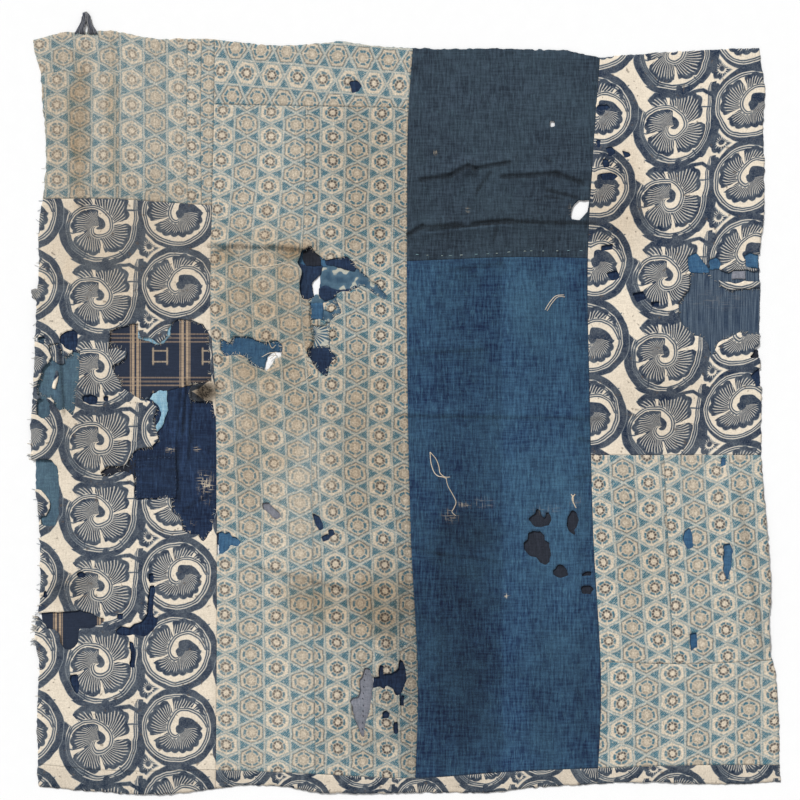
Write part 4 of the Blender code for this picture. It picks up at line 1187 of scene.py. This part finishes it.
def lay_face(name):
    """One width of the face: x goes evenly from its left to its right line and y from its
    top to its bottom line, each worked out again from the other. It runs a little under the
    neighbour on its left and over it, and comes down to its seams."""
    left, right, top, bottom, finish, cell = FACE_PIECES[name]
    mid_x = (line_place(UPRIGHT, left, 400) + line_place(UPRIGHT, right, 400)) / 2
    tall = line_place(LEVEL, bottom, mid_x) - line_place(LEVEL, top, mid_x)
    wide = line_place(UPRIGHT, right, 400) - line_place(UPRIGHT, left, 400)
    s = np.linspace(0, 1, round(wide * PIXEL / cell) + 1)[:, None]
    t = np.linspace(0, 1, round(tall * PIXEL / cell) + 1)[None, :]
    x = mid_x + 0 * s * t
    y = 400 + 0 * s * t
    lap_left = 0 if left in OUTER_LINES else LAP
    lap_top = 0 if top in OUTER_LINES else LAP
    for _ in range(4):
        x_left = line_place(UPRIGHT, left, y) - lap_left
        x = x_left + (line_place(UPRIGHT, right, y) - x_left) * s
        y_top = line_place(LEVEL, top, x) - lap_top
        y = y_top + (line_place(LEVEL, bottom, x) - y_top) * t
    to_side = np.minimum(x - x_left, line_place(UPRIGHT, right, y) - x)
    to_end = np.minimum(y - y_top, line_place(LEVEL, bottom, x) - y)
    to_seam = np.minimum(to_side, to_end)
    puff = SEAM_DROP * smooth(to_seam / SEAM_REACH)
    under = 0.0002 * (1 - smooth(np.minimum(x - x_left, y - y_top) / 1.5))
    height = face_height(x, y) + FACE_CLOTH - 0.0003 + puff - under
    keep = np.full(x.shape, 99.0)
    for outline in HOLES.get(name, ()):
        keep = np.minimum(keep, -inside_distance(x, y, outline) - HOLE_GROWTH)
    rough = 0.8 * unevenness(x, y, 4.2, 7) + 0.8 * unevenness(x, y, 9, 8)
    keep = np.where(keep < 20, keep + RAGGED_HOLE * rough, keep)
    curl = 0.0004 * np.exp(-np.clip(keep, 0, None) / 2.0)
    made = lay_cloth("cloth_" + name, x, y, height + curl, keep, finish,
                     CHARTS.get(name, plain_chart), FACE_SHELL, PIECE_TONES.get(name, (0.0, 0.0)))
    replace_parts(made, name)


# What lies behind: name: (node it stands for or None, finish, slot, low z in metres, outline)
PLAID_PLACE = (135.5, 338.0, 49.5, 43.5)  # a crossing of its bars, and their pitches
PLAID_LOW_PLACE = (58.0, 575.0, 44.0, -200.0)
BEHIND = {
    "back_plaid": ("scrap_plaid", "plaid", "plaid", 0.0008,
                   ((108, 316), (214, 316), (214, 384), (188, 386), (178, 388), (168, 391),
                    (152, 393), (149, 399), (140, 400), (108, 399))),
    "back_navy": ("scrap_navy", "navy", "navy", 0.0,
                  ((130, 380), (218, 380), (219, 544), (200, 546), (130, 542))),
    "back_sky_upper": ("scrap_sky_upper", "sky", "sky", 0.0,
                       ((38, 338), (84, 338), (84, 420), (37, 420), (36, 380))),
    "back_sky_lower": ("scrap_sky_lower", "sky", "sky", 0.0,
                       ((36, 454), (66, 454), (66, 528), (40, 528), (38, 505), (36, 488))),
    "back_blue_left": ("scrap_blue_left", "mid_blue", "mid_blue", 0.0,
                       ((217, 332), (286, 332), (286, 352), (272, 352), (268, 356),
                        (264, 372), (217, 372))),
    "back_print_mixed": ("scrap_print_mixed", "faded_print", "faded_print", 0.0,
                         ((321, 262), (334, 266), (352, 262), (374, 262), (392, 296),
                          (390, 304), (322, 304), (322, 296), (320, 292))),
    "back_navy_long": ("scrap_navy_long", "navy", "navy", 0.0,
                       ((304, 345), (320, 346), (342, 343), (342, 381), (304, 381))),
    "back_blue_small": ("scrap_blue_small", "mid_blue", "mid_blue", 0.0,
                        ((219, 528), (258, 528), (258, 556), (219, 556))),
    "back_plaid_low": ("scrap_plaid_low", "plaid", "plaid", 0.0,
                       ((41, 605), (110, 600), (112, 636), (84, 655), (45, 655))),
    "back_navy_low": ("scrap_navy_low", "navy", "navy", 0.0,
                      ((112, 584), (161, 584), (161, 674), (120, 674))),
    "back_grey_stripe": ("scrap_grey_stripe", "grey_stripe", "grey_stripe", 0.0,
                         ((664, 252), (758, 254), (760, 290), (759, 334), (757, 347),
                          (721, 348), (719, 359), (704, 359), (664, 346))),
    "back_navy_right": ("scrap_navy_right", "navy", "navy", 0.0,
                        ((373, 655), (410, 655), (410, 738), (374, 738))),
    "back_mauve": ("scrap_mauve", "mauve", "mauve", 0.0,
                   ((336, 662), (373, 662), (373, 740), (336, 740))),
    "back_brown": ("scrap_brown", "brown_black", "brown_black", 0.0,
                   ((517, 505), (564, 505), (564, 569), (517, 569))),
    "back_brown_small": ("scrap_brown_small", "brown_black", "brown_black", 0.0,
                         ((550, 562), (566, 560), (567, 506), (596, 506), (596, 598),
                          (575, 598), (574, 580), (550, 580))),
    "back_blue_right": ("scrap_blue_right", "mid_blue", "mid_blue", 0.0,
                        ((676, 520), (738, 520), (738, 658), (676, 658))),
    "back_over_patch": ("over_patch_navy", "navy", "navy", 0.0013,
                        ((137, 450), (176, 449), (177, 474), (177, 498), (157, 499),
                         (137, 499), (136, 474))),
}
BITS = {
    "bit_sky_lining": ("pale_sky", "sky", 0.0018,
                       ((150, 399), (153, 394), (160, 391), (167, 391), (167, 400),
                        (168, 410), (165, 418), (163, 425), (159, 431), (155, 434),
                        (155, 427), (160, 420), (161, 412), (157, 404), (154, 402))),
    "bit_sky_flap": ("pale_sky", "sky", 0.0012,
                     ((139, 322), (172, 321), (170, 336), (164, 343), (158, 345), (148, 341),
                      (138, 338))),
    # A near-black sheet in the gap under the scroll cloth's torn flap: painted shadow where there is only
    # shade.
    "bit_painted_shadow_gap": ("brown_black", "brown_black", 0.0,
                     ((98, 460), (136, 460), (136, 480), (98, 480))),
    "bit_navy_left": ("navy", "navy", 0.0010, ((57, 328), (81, 328), (81, 353), (57, 350))),
    "bit_brown_tear": ("brown_black", "brown_black", 0.0011,
                       ((303, 252), (310, 246), (318, 253), (321, 260), (321, 266),
                        (314, 266), (306, 266), (303, 262))),
    "bit_navy_tear_top": ("navy", "navy", 0.0011,
                          ((324, 258), (347, 255), (358, 266), (354, 272), (344, 270),
                           (334, 266), (326, 265))),
    "bit_navy_tear_left": ("navy", "navy", 0.0006,
                           ((300, 264), (322, 265), (321, 274), (315, 280), (312, 284),
                            (313, 290), (314, 297), (308, 301), (299, 298), (298, 280))),
    "bit_navy_ring": ("navy", "navy", 0.0011,
                      ((319, 289), (325, 285), (330, 287), (336, 290), (350, 289),
                       (356, 285), (357, 289), (346, 293), (337, 294), (333, 299),
                       (326, 301), (320, 298))),
    "bit_print_middle": ("faded_print", "faded_print", 0.0,
                         ((308, 321), (334, 321), (334, 348), (308, 348))),
    "bit_blue_tear_top": ("mid_blue", "mid_blue", 0.0003,
                          ((296, 248), (330, 249), (335, 266), (298, 268))),
    "bit_print_rag": ("faded_print", "faded_print", 0.0003,
                      ((316, 295), (330, 296), (343, 303), (345, 317), (334, 322), (310, 324),
                       (308, 302), (312, 298))),
    "bit_pale_rag": ("kikko", "kikko", 0.0018,
                     ((323, 303), (328, 302), (335, 304), (337, 308), (331, 312), (324, 310))),
    "bit_pale_band": ("kikko", "kikko", 0.0018,
                      ((311, 320), (319, 319), (326, 321), (327, 325), (318, 326), (312, 325))),
    "bit_long_rag": ("kikko", "kikko", 0.0016,
                     ((303, 299), (308, 300), (311, 308), (311, 322), (314, 332), (313, 344),
                      (309, 350), (307, 338), (304, 322))),
    "bit_edge_rag": ("karakusa", "karakusa", 0.0004,
                     ((31, 290), (36, 288), (42, 292), (44, 302), (39, 306), (36, 300),
                      (32, 297))),
    "bit_edge_rag_low": ("karakusa", "karakusa", 0.0004,
                         ((35, 615), (41, 618), (47, 627), (48, 636), (41, 634), (37, 626))),
    "bit_edge_rag_lower": ("karakusa", "karakusa", 0.0004,
                           ((35, 640), (40, 636), (49, 637), (51, 643), (43, 645),
                            (36, 646))),
    "bit_sky_remnant": ("karakusa", "karakusa", 0.0017,
                        ((50, 344), (57, 345), (61, 352), (64, 358), (66, 364), (60, 365),
                         (53, 360), (51, 352))),
    "bit_sky_strip": ("karakusa", "karakusa", 0.0017,
                      ((56, 370), (58.6, 371), (58, 380), (55.5, 389), (52, 389), (54.5, 380))),
    "bit_blue_square": ("mid_blue", "mid_blue", 0.0011,
                        ((309, 303), (324, 303), (323, 320), (309, 320))),
    "bit_blue_right_upper": ("mid_blue", "mid_blue", 0.0011,
                             ((686, 250), (708, 250), (710, 273), (686, 273))),
    "bit_blue_right_small": ("mid_blue", "mid_blue", 0.0011,
                             ((709, 257), (722, 257), (722, 269), (709, 270))),
    "bit_blue_right_edge": ("mid_blue", "mid_blue", 0.0011,
                            ((742, 251), (758, 252), (758, 268), (742, 268))),
    "bit_grey_square": ("mauve", "mauve", 0.0011,
                        ((732, 271), (745, 271), (745, 279), (732, 279))),
    "bit_dark_right_a": ("brown_black", "brown_black", 0.0,
                         ((746, 350), (758, 350), (759, 360), (746, 360))),
    "bit_dark_right_b": ("navy", "navy", 0.0,
                         ((747, 364), (759, 364), (760, 392), (747, 392))),
    "bit_dark_worn_top": ("navy", "navy", 0.0,
                          ((597, 100), (636, 100), (636, 184), (596, 184))),
    "bit_dark_worn_middle": ("navy", "navy", 0.0,
                             ((593, 240), (662, 240), (662, 312), (596, 312))),
    "bit_dark_worn_left": ("navy", "navy", 0.0,
                           ((80, 392), (111, 392), (111, 407), (80, 407))),
    "bit_dark_edge_left": ("navy", "navy", 0.0,
                           ((39, 334), (52, 334), (52, 346), (39, 346))),
    "bit_dark_low_left": ("navy", "navy", 0.0,
                          ((42, 566), (90, 566), (90, 600), (42, 600))),
    "bit_dark_low": ("navy", "navy", 0.0, ((66, 671), (84, 671), (84, 697), (66, 697))),
    "bit_navy_low_oval": ("navy", "navy", 0.0,
                          ((145, 569), (158, 569), (158, 583), (145, 583))),
    "bit_blue_low_right": ("mid_blue", "mid_blue", 0.0,
                           ((716, 452), (730, 452), (730, 470), (716, 470))),
    "bit_navy_top": ("navy", "navy", 0.0, ((346, 77), (365, 77), (365, 96), (346, 96))),
    "bit_navy_centre": ("navy", "navy", 0.0, ((309, 511), (337, 511), (337, 543), (309, 543))),
    "bit_mauve_centre": ("mauve", "mauve", 0.0, ((259, 499), (285, 499), (285, 521), (259, 521))),
    "bit_navy_round": ("navy", "navy", 0.0, ((382, 97), (396, 97), (396, 112), (382, 112))),
}
SCRAP_CELL = 1.4  # pixels between a scrap's grid lines


def lay_scrap(name, finish, low, outline, chart):
    """A scrap behind the face: a level grid, low ripples, and a ragged outline."""
    corners = np.array(outline, float)
    (x0, y0), (x1, y1) = corners.min(0) - 2, corners.max(0) + 2
    x, y = np.meshgrid(np.arange(x0, x1, SCRAP_CELL), np.arange(y0, y1, SCRAP_CELL), indexing="ij")
    rough = 0.5 * unevenness(x, y, 2.4, 11) + 0.4 * unevenness(x, y, 6, 12)
    keep = inside_distance(x, y, outline) + rough
    sharp = sum(fold_height(x, y, crease) for crease in CREASES)
    ripple = 0.00055 * unevenness(x, y, 11, 13) + 0.00025 * unevenness(x, y, 5, 14)
    top = low + SCRAP_CLOTH + ripple + np.clip(sharp, -0.0004, 0.0022)
    top = np.maximum(top, SCRAP_SHELL)
    made = lay_cloth(name, x, y, top, keep, finish, chart, SCRAP_SHELL,
                     PIECE_TONES.get(name, (0.0, 0.0)))
    return made


def plaid_chart(place):
    """The plaid's chart from one crossing of its bars."""
    x0, y0, wide, tall = place
    return lambda x, y, cx, cy: ((x - x0) / wide, (y - y0) / tall)


# Threads

def spin(name, paths, radius, tints):
    """Threads as square tubes along paths (thread, station, xyz): a ring of points round each
    station, across the path, thinner towards both ends. Both ends are closed."""
    sides = 4
    count, stations, _ = paths.shape
    along = np.gradient(paths, axis=1)
    along /= np.linalg.norm(along, axis=2, keepdims=True) + 1e-12
    aside = np.cross(along, (0.0, 0.0, 1.0))
    aside[np.linalg.norm(aside, axis=2) < 1e-6] = (1.0, 0.0, 0.0)
    aside /= np.linalg.norm(aside, axis=2, keepdims=True)
    upward = np.cross(aside, along)
    taper = 0.45 + 0.55 * np.sin(math.pi * np.linspace(0.08, 0.92, stations)) ** 0.5
    thick = np.asarray(radius).reshape(-1, 1) * taper
    angle = 2 * math.pi * np.arange(sides) / sides
    ring = (
        aside[:, :, None] * np.cos(angle)[:, None] + upward[:, :, None] * np.sin(angle)[:, None]
    )
    points = paths[:, :, None] + ring * thick[:, :, None, None]
    number = np.arange(count * stations * sides).reshape(count, stations, sides)
    turned = np.roll(number, -1, axis=2)
    walls = np.stack([number[:, :-1], number[:, 1:], turned[:, 1:], turned[:, :-1]], -1)
    ends = np.concatenate([number[:, 0], number[:, -1, ::-1]])
    mesh = bpy.data.meshes.new(name)
    mesh.from_pydata(points.reshape(-1, 3), [], np.concatenate([walls.reshape(-1, 4), ends]))
    mesh.shade_smooth()
    colours = np.repeat(np.asarray(tints).reshape(-1, 4), stations * sides, axis=0)
    tint = mesh.attributes.new("tint", "FLOAT_COLOR", "POINT")
    tint.data.foreach_set("color", colours.ravel())
    mesh.materials.append(FINISHES["stub"])
    made = bpy.data.objects.new(name, mesh)
    bpy.context.scene.collection.objects.link(made)
    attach(made, "root")
    return made


def mixed_tints(rng, count, hex_colours):
    """A colour for each thread, between two of the named ones, lighter or darker."""
    palette = np.array([ink(colour) for colour in hex_colours])
    one, two = palette[rng.integers(len(palette), size=(2, count))]
    share = rng.uniform(0, 1, (count, 1))
    tints = (one * share + two * (1 - share)) * rng.uniform(0.8, 1.15, (count, 1))
    tints[:, 3] = 1
    return np.clip(tints, 0, 1)


def within_face(piece, x, y):
    """Whether a pixel lies inside a piece of the face, a little in from its side lines."""
    left, right = FACE_PIECES[piece][:2]
    return (x > line_place(UPRIGHT, left, y) + 0.8) & (x < line_place(UPRIGHT, right, y) - 0.8)


def frayed_ends(name, piece, torn, per_pixel, length, radius, hex_colours, seed):
    """Ends of yarn that stand from the edges of a piece's first torn worn places into them:
    each starts on an outline, leaves it inward and sideways by a random angle, and droops on
    to the scrap. The other worn places are clean."""
    rng = np.random.default_rng(seed)
    starts, inward = [], []
    for outline in HOLES[piece][:torn]:
        corners = np.array(outline, float)
        following = np.roll(corners, -1, axis=0)
        run = following - corners
        long = np.hypot(*run.T)
        turn = np.sign((corners[:, 0] * following[:, 1] - following[:, 0] * corners[:, 1]).sum())
        side = rng.choice(len(corners), size=max(3, int(long.sum() * per_pixel)), p=long / long.sum())
        share = rng.uniform(0, 1, (len(side), 1))
        starts.append(corners[side] + run[side] * share)
        inward.append(np.stack([-run[side, 1], run[side, 0]], -1) / long[side, None] * turn)
    starts, inward = np.concatenate(starts), np.concatenate(inward)
    inside = within_face(piece, *starts.T)
    starts, inward = starts[inside], inward[inside]
    count = len(starts)
    lean = rng.normal(0, 0.6, count)
    c, s = np.cos(lean), np.sin(lean)
    heading = np.stack([inward[:, 0] * c - inward[:, 1] * s, inward[:, 0] * s + inward[:, 1] * c], -1)
    long = length * rng.uniform(0.35, 1.0, count) ** 1.3
    bend = rng.normal(0, 0.35, count)
    t = np.linspace(-0.10, 1, 5)[None, :]
    sideways = np.stack([-heading[:, 1], heading[:, 0]], -1)
    places = (
        starts[:, None] + heading[:, None] * (long[:, None] * t)[:, :, None]
        + sideways[:, None] * (bend[:, None] * long[:, None] * t**2)[:, :, None]
    )
    x, y = places[:, :, 0], places[:, :, 1]
    base = face_height(x, y) + FACE_CLOTH
    z = base + (0.0015 - base) * smooth(t * 1.2) * 0.9 + 0.0001
    paths = np.stack([*metres(x, y), z], -1)
    tints = mixed_tints(rng, count, hex_colours)
    return spin(name, paths, radius * rng.uniform(0.7, 1.3, count), tints)


def stitches(name, line, pitch, long, radius, hex_colours, seed, lift=0.0):
    """Running stitches along a line of pixels: every pitch pixels a short thread that rises
    from the cloth, runs long pixels over it and goes back in."""
    rng = np.random.default_rng(seed)
    corners = np.array(line, float)
    far = np.concatenate([[0], np.cumsum(np.hypot(*np.diff(corners, axis=0).T))])
    at = np.arange(pitch * 0.5, far[-1], pitch)
    at = at + rng.normal(0, 0.12 * pitch, len(at))
    t = np.linspace(-0.5, 0.5, 5)[None, :]
    reach = np.clip(at[:, None] + t * long * rng.uniform(0.7, 1.2, (len(at), 1)), 0, far[-1])
    x = np.interp(reach, far, corners[:, 0]) + rng.normal(0, 0.25, (len(at), 1))
    y = np.interp(reach, far, corners[:, 1]) + rng.normal(0, 0.25, (len(at), 1))
    z = face_height(x, y) + FACE_CLOTH + lift + radius * (1.2 - 6 * t**2)
    paths = np.stack([*metres(x, y), z], -1)
    return spin(name, paths, np.full(len(at), radius), mixed_tints(rng, len(at), hex_colours))


def loose_threads(name, lines, radius, hex_colours, seed):
    """Long loose threads that lie on the cloth along their own curves."""
    rng = np.random.default_rng(seed)
    paths = []
    for line in lines:
        at = np.linspace(0, len(line) - 1, 24)
        x, y = (curve_through(list(enumerate(part)), at) for part in zip(*line))
        z = face_height(x, y) + FACE_CLOTH + 0.0004 + 0.0003 * np.sin(at * 2.3)
        paths.append(np.stack([*metres(x, y), z], -1))
    count = len(paths)
    return spin(name, np.array(paths), np.full(count, radius),
                mixed_tints(rng, count, hex_colours))


def tie_stub():
    """The stub of a tie: strands that rise from two roots at the upper edge, leave a small
    gap at the middle and draw together to a frayed head, in a bundle with an oval section."""
    rng = np.random.default_rng(31)
    count = 210
    root = rng.uniform(-1, 1, count)
    root = np.sign(root) * (0.12 + 0.88 * abs(root))
    layer = rng.uniform(-1, 1, count)
    reach = 1 - 0.42 * abs(root) ** 1.5 * rng.uniform(0.7, 1.3, count)
    t = np.linspace(0, 1, 9)[None, :]
    draw = smooth(t * 1.1)
    foot_x = 86.5 + 11.5 * root[:, None]
    head_x = 86.3 + 3.4 * root[:, None] + rng.normal(0, 0.8, (count, 1))
    x = foot_x + (head_x - foot_x) * draw
    x = x + rng.normal(0, 0.25, (count, 1)) * np.sin(math.pi * t * 2 + rng.uniform(0, 6, (count, 1)))
    y = 34.5 - 23.0 * reach[:, None] * t
    gap = np.exp(-((y - 29) / 2.6) ** 2) * np.sign(root[:, None]) * np.exp(-abs(x - 84.5) / 3)
    x = x + 1.6 * gap
    thick = 0.0021 * np.sqrt(np.clip(1 - root[:, None] ** 2 * 0.8, 0, 1)) * (1 - 0.35 * t)
    z = 0.0026 + layer[:, None] * thick
    paths = np.stack([*metres(x, y), z], -1)
    tints = mixed_tints(rng, count, ("454A57", "5B5F6C", "787A80", "363B48", "8B8A88"))
    made = spin("stub_strands", paths, rng.uniform(0.00045, 0.0008, count), tints)
    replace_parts(made, "tie_stub")


CREAM_YARN = ("EBDCC6", "DCCBB2", "CFC3B2")
SCROLL_YARN = ("C4BBAA", "98A0A4", "DCCFB9", "748292")
KIKKO_YARN = ("D0C8B6", "A9B8BA", "E0D3BE", "8CA4AE")


def edge_tufts(name, places, length, radius, hex_colours, seed):
    """Yarn ends that stick out from the cloth's left edge: (middle y, half height, count)
    for each tuft. They leave level, bend at random and sink to the floor."""
    rng = np.random.default_rng(seed)
    y = np.concatenate([rng.normal(mid, half, count) for mid, half, count in places])[:, None]
    count = len(y)
    t = np.linspace(0, 1, 6)[None, :]
    long = length * rng.uniform(0.4, 1.0, (count, 1))
    x = line_place(UPRIGHT, "left_edge", y) + 2.0 - (long + 2.0) * t
    y = y + rng.normal(0, 0.28, (count, 1)) * long * t + rng.normal(0, 0.2, (count, 1)) * long * t**2
    z = 0.0006 + (face_height(x[:, :1], y[:, :1]) + FACE_CLOTH - 0.0004) * (1 - smooth(t * 1.3))
    paths = np.stack([*metres(x, y), z], -1)
    return spin(name, paths, radius * rng.uniform(0.7, 1.3, count),
                mixed_tints(rng, count, hex_colours))


def lay_threads():
    """Every thread group: frayed ends, tufts at the left edge, stitches and loose threads."""
    frayed_ends("fringe_karakusa_left", "karakusa_left", 2, 0.4, 3.8, 0.0003, SCROLL_YARN,
                51)
    frayed_ends("fringe_karakusa_right", "karakusa_right", 1, 0.35, 2.8, 0.0003, SCROLL_YARN,
                52)
    frayed_ends("fringe_centre_left", "kikko_centre_left", 1, 0.5, 3.6, 0.0003, KIKKO_YARN,
                53)
    frayed_ends("fringe_centre_right", "kikko_centre_right", 1, 0.5, 3.4, 0.0003, KIKKO_YARN,
                56)
    edge_tufts("tufts_left_edge",
               ((294, 2.5, 14), (457, 2.0, 9), (386, 0.8, 3), (617, 2.0, 12), (629, 3.5, 14),
                (642, 2.0, 14), (300, 90, 16), (560, 80, 16)),
               5.0, 0.00034, SCROLL_YARN, 57)
    stitches("stitches_dark_lower", ((412, 255), (450, 256), (500, 253), (520, 251), (588, 251)),
             11.5, 2.8, 0.0006, ("7FA0A6", "A3B0AC"), 61)
    stitches("stitches_over_patch",
             ((175, 497), (140, 497), (139, 478), (139, 459), (158, 458), (175, 457),
              (176, 480), (175, 497)), 4.2, 1.8, 0.00045, ("46597A", "2A3A58"), 66,
             0.0013)
    stitches("stitches_mauve", ((365, 672), (363, 690), (363, 712), (362, 732)), 6.0, 1.4,
             0.0006, ("2B3040", "3A3F50"), 62, -0.0012)
    loose_threads(
        "threads_on_indigo",
        (((430, 452), (431, 463), (434, 472), (438, 476), (443, 477), (447, 479)),
         ((430, 452), (436, 459), (439, 467), (440, 473), (445, 477), (450, 477)),
         ((446, 478), (448, 486), (453, 495), (456, 502), (454, 508), (452, 512), (456, 516)),
         ((545, 310), (550, 302), (556, 296), (564, 295)),
         ((547, 311), (552, 303), (558, 297), (565, 297))),
        0.00085, CREAM_YARN, 63)
    loose_threads(
        "knot_on_indigo",
        (((573, 495), (572, 499), (574, 504), (576, 508)), ((571, 494), (573, 498), (573, 503)),
         ((575, 494), (573, 497), (572, 501))),
        0.0011, CREAM_YARN, 65)
    loose_threads(
        "threads_on_kikko",
        (((238, 272), (240, 267), (255, 268), (270, 266), (285, 264), (294, 267)),
         ((260, 246), (265, 251), (271, 259), (281, 262), (291, 268)),
         ((262, 357), (270, 353), (276, 354), (270, 359)), ((268, 340), (272, 348), (276, 345)),
         ((305, 380), (312, 372), (306, 360), (303, 350))),
        0.0007, CREAM_YARN, 64)


def set_stage():
    """A plain white floor, even soft light and a camera straight over the cloth."""
    world = bpy.data.worlds.new("studio")
    world.use_nodes = True
    world.node_tree.nodes["Background"].inputs[0].default_value = (1, 1, 1, 1)
    world.node_tree.nodes["Background"].inputs[1].default_value = 0.46
    scene = bpy.context.scene
    scene.world = world
    scene.view_settings.view_transform = "Standard"

    sun_data = bpy.data.lights.new("window_light", "SUN")
    sun_data.energy = 2.48
    sun_data.angle = math.radians(12)
    sun = bpy.data.objects.new("window_light", sun_data)
    sun.rotation_euler = (math.radians(-38), math.radians(-28), 0)
    scene.collection.objects.link(sun)

    floor_mesh = bpy.data.meshes.new("floor")
    far = 6.0
    floor_mesh.from_pydata(
        [(-far, -far, -0.0005), (far, -far, -0.0005), (far, far, -0.0005), (-far, far, -0.0005)],
        [], [(0, 1, 2, 3)])
    made, tree = start_material("white_paper_ground")
    paper = add(tree, "TexNoise", add(tree, "TexCoord", out=3), None, 40.0, 3.0, 0.5)
    colour = add(tree, "MixRGB", paper, (0.97, 0.97, 0.97, 1), (1.0, 1.0, 1.0, 1))
    shader = tree.nodes["Principled BSDF"]
    tree.links.new(colour, shader.inputs["Base Color"])
    shader.inputs["Roughness"].default_value = 0.9
    floor_mesh.materials.append(made)
    floor = bpy.data.objects.new("floor", floor_mesh)
    scene.collection.objects.link(floor)

    lens = bpy.data.cameras.new("camera")
    lens.lens = 100
    lens.sensor_width = 36
    lens.clip_end = 50
    camera = bpy.data.objects.new("camera", lens)
    camera.location = (*metres(400, 400), 3.886)
    scene.collection.objects.link(camera)
    scene.camera = camera


def main():
    for name in FACE_PIECES:
        lay_face(name)
    for name, (node, finish, slot, low, outline) in BEHIND.items():
        chart = plain_chart
        if finish == "plaid":
            chart = plaid_chart(PLAID_LOW_PLACE if "low" in name else PLAID_PLACE)
        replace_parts(lay_scrap(name, finish, low, outline, chart), node)
    for name, (finish, slot, low, outline) in BITS.items():
        lay_scrap(name, finish, low, outline, RAG_CHARTS.get(finish, plain_chart))
    lay_threads()
    tie_stub()
    set_stage()


main()
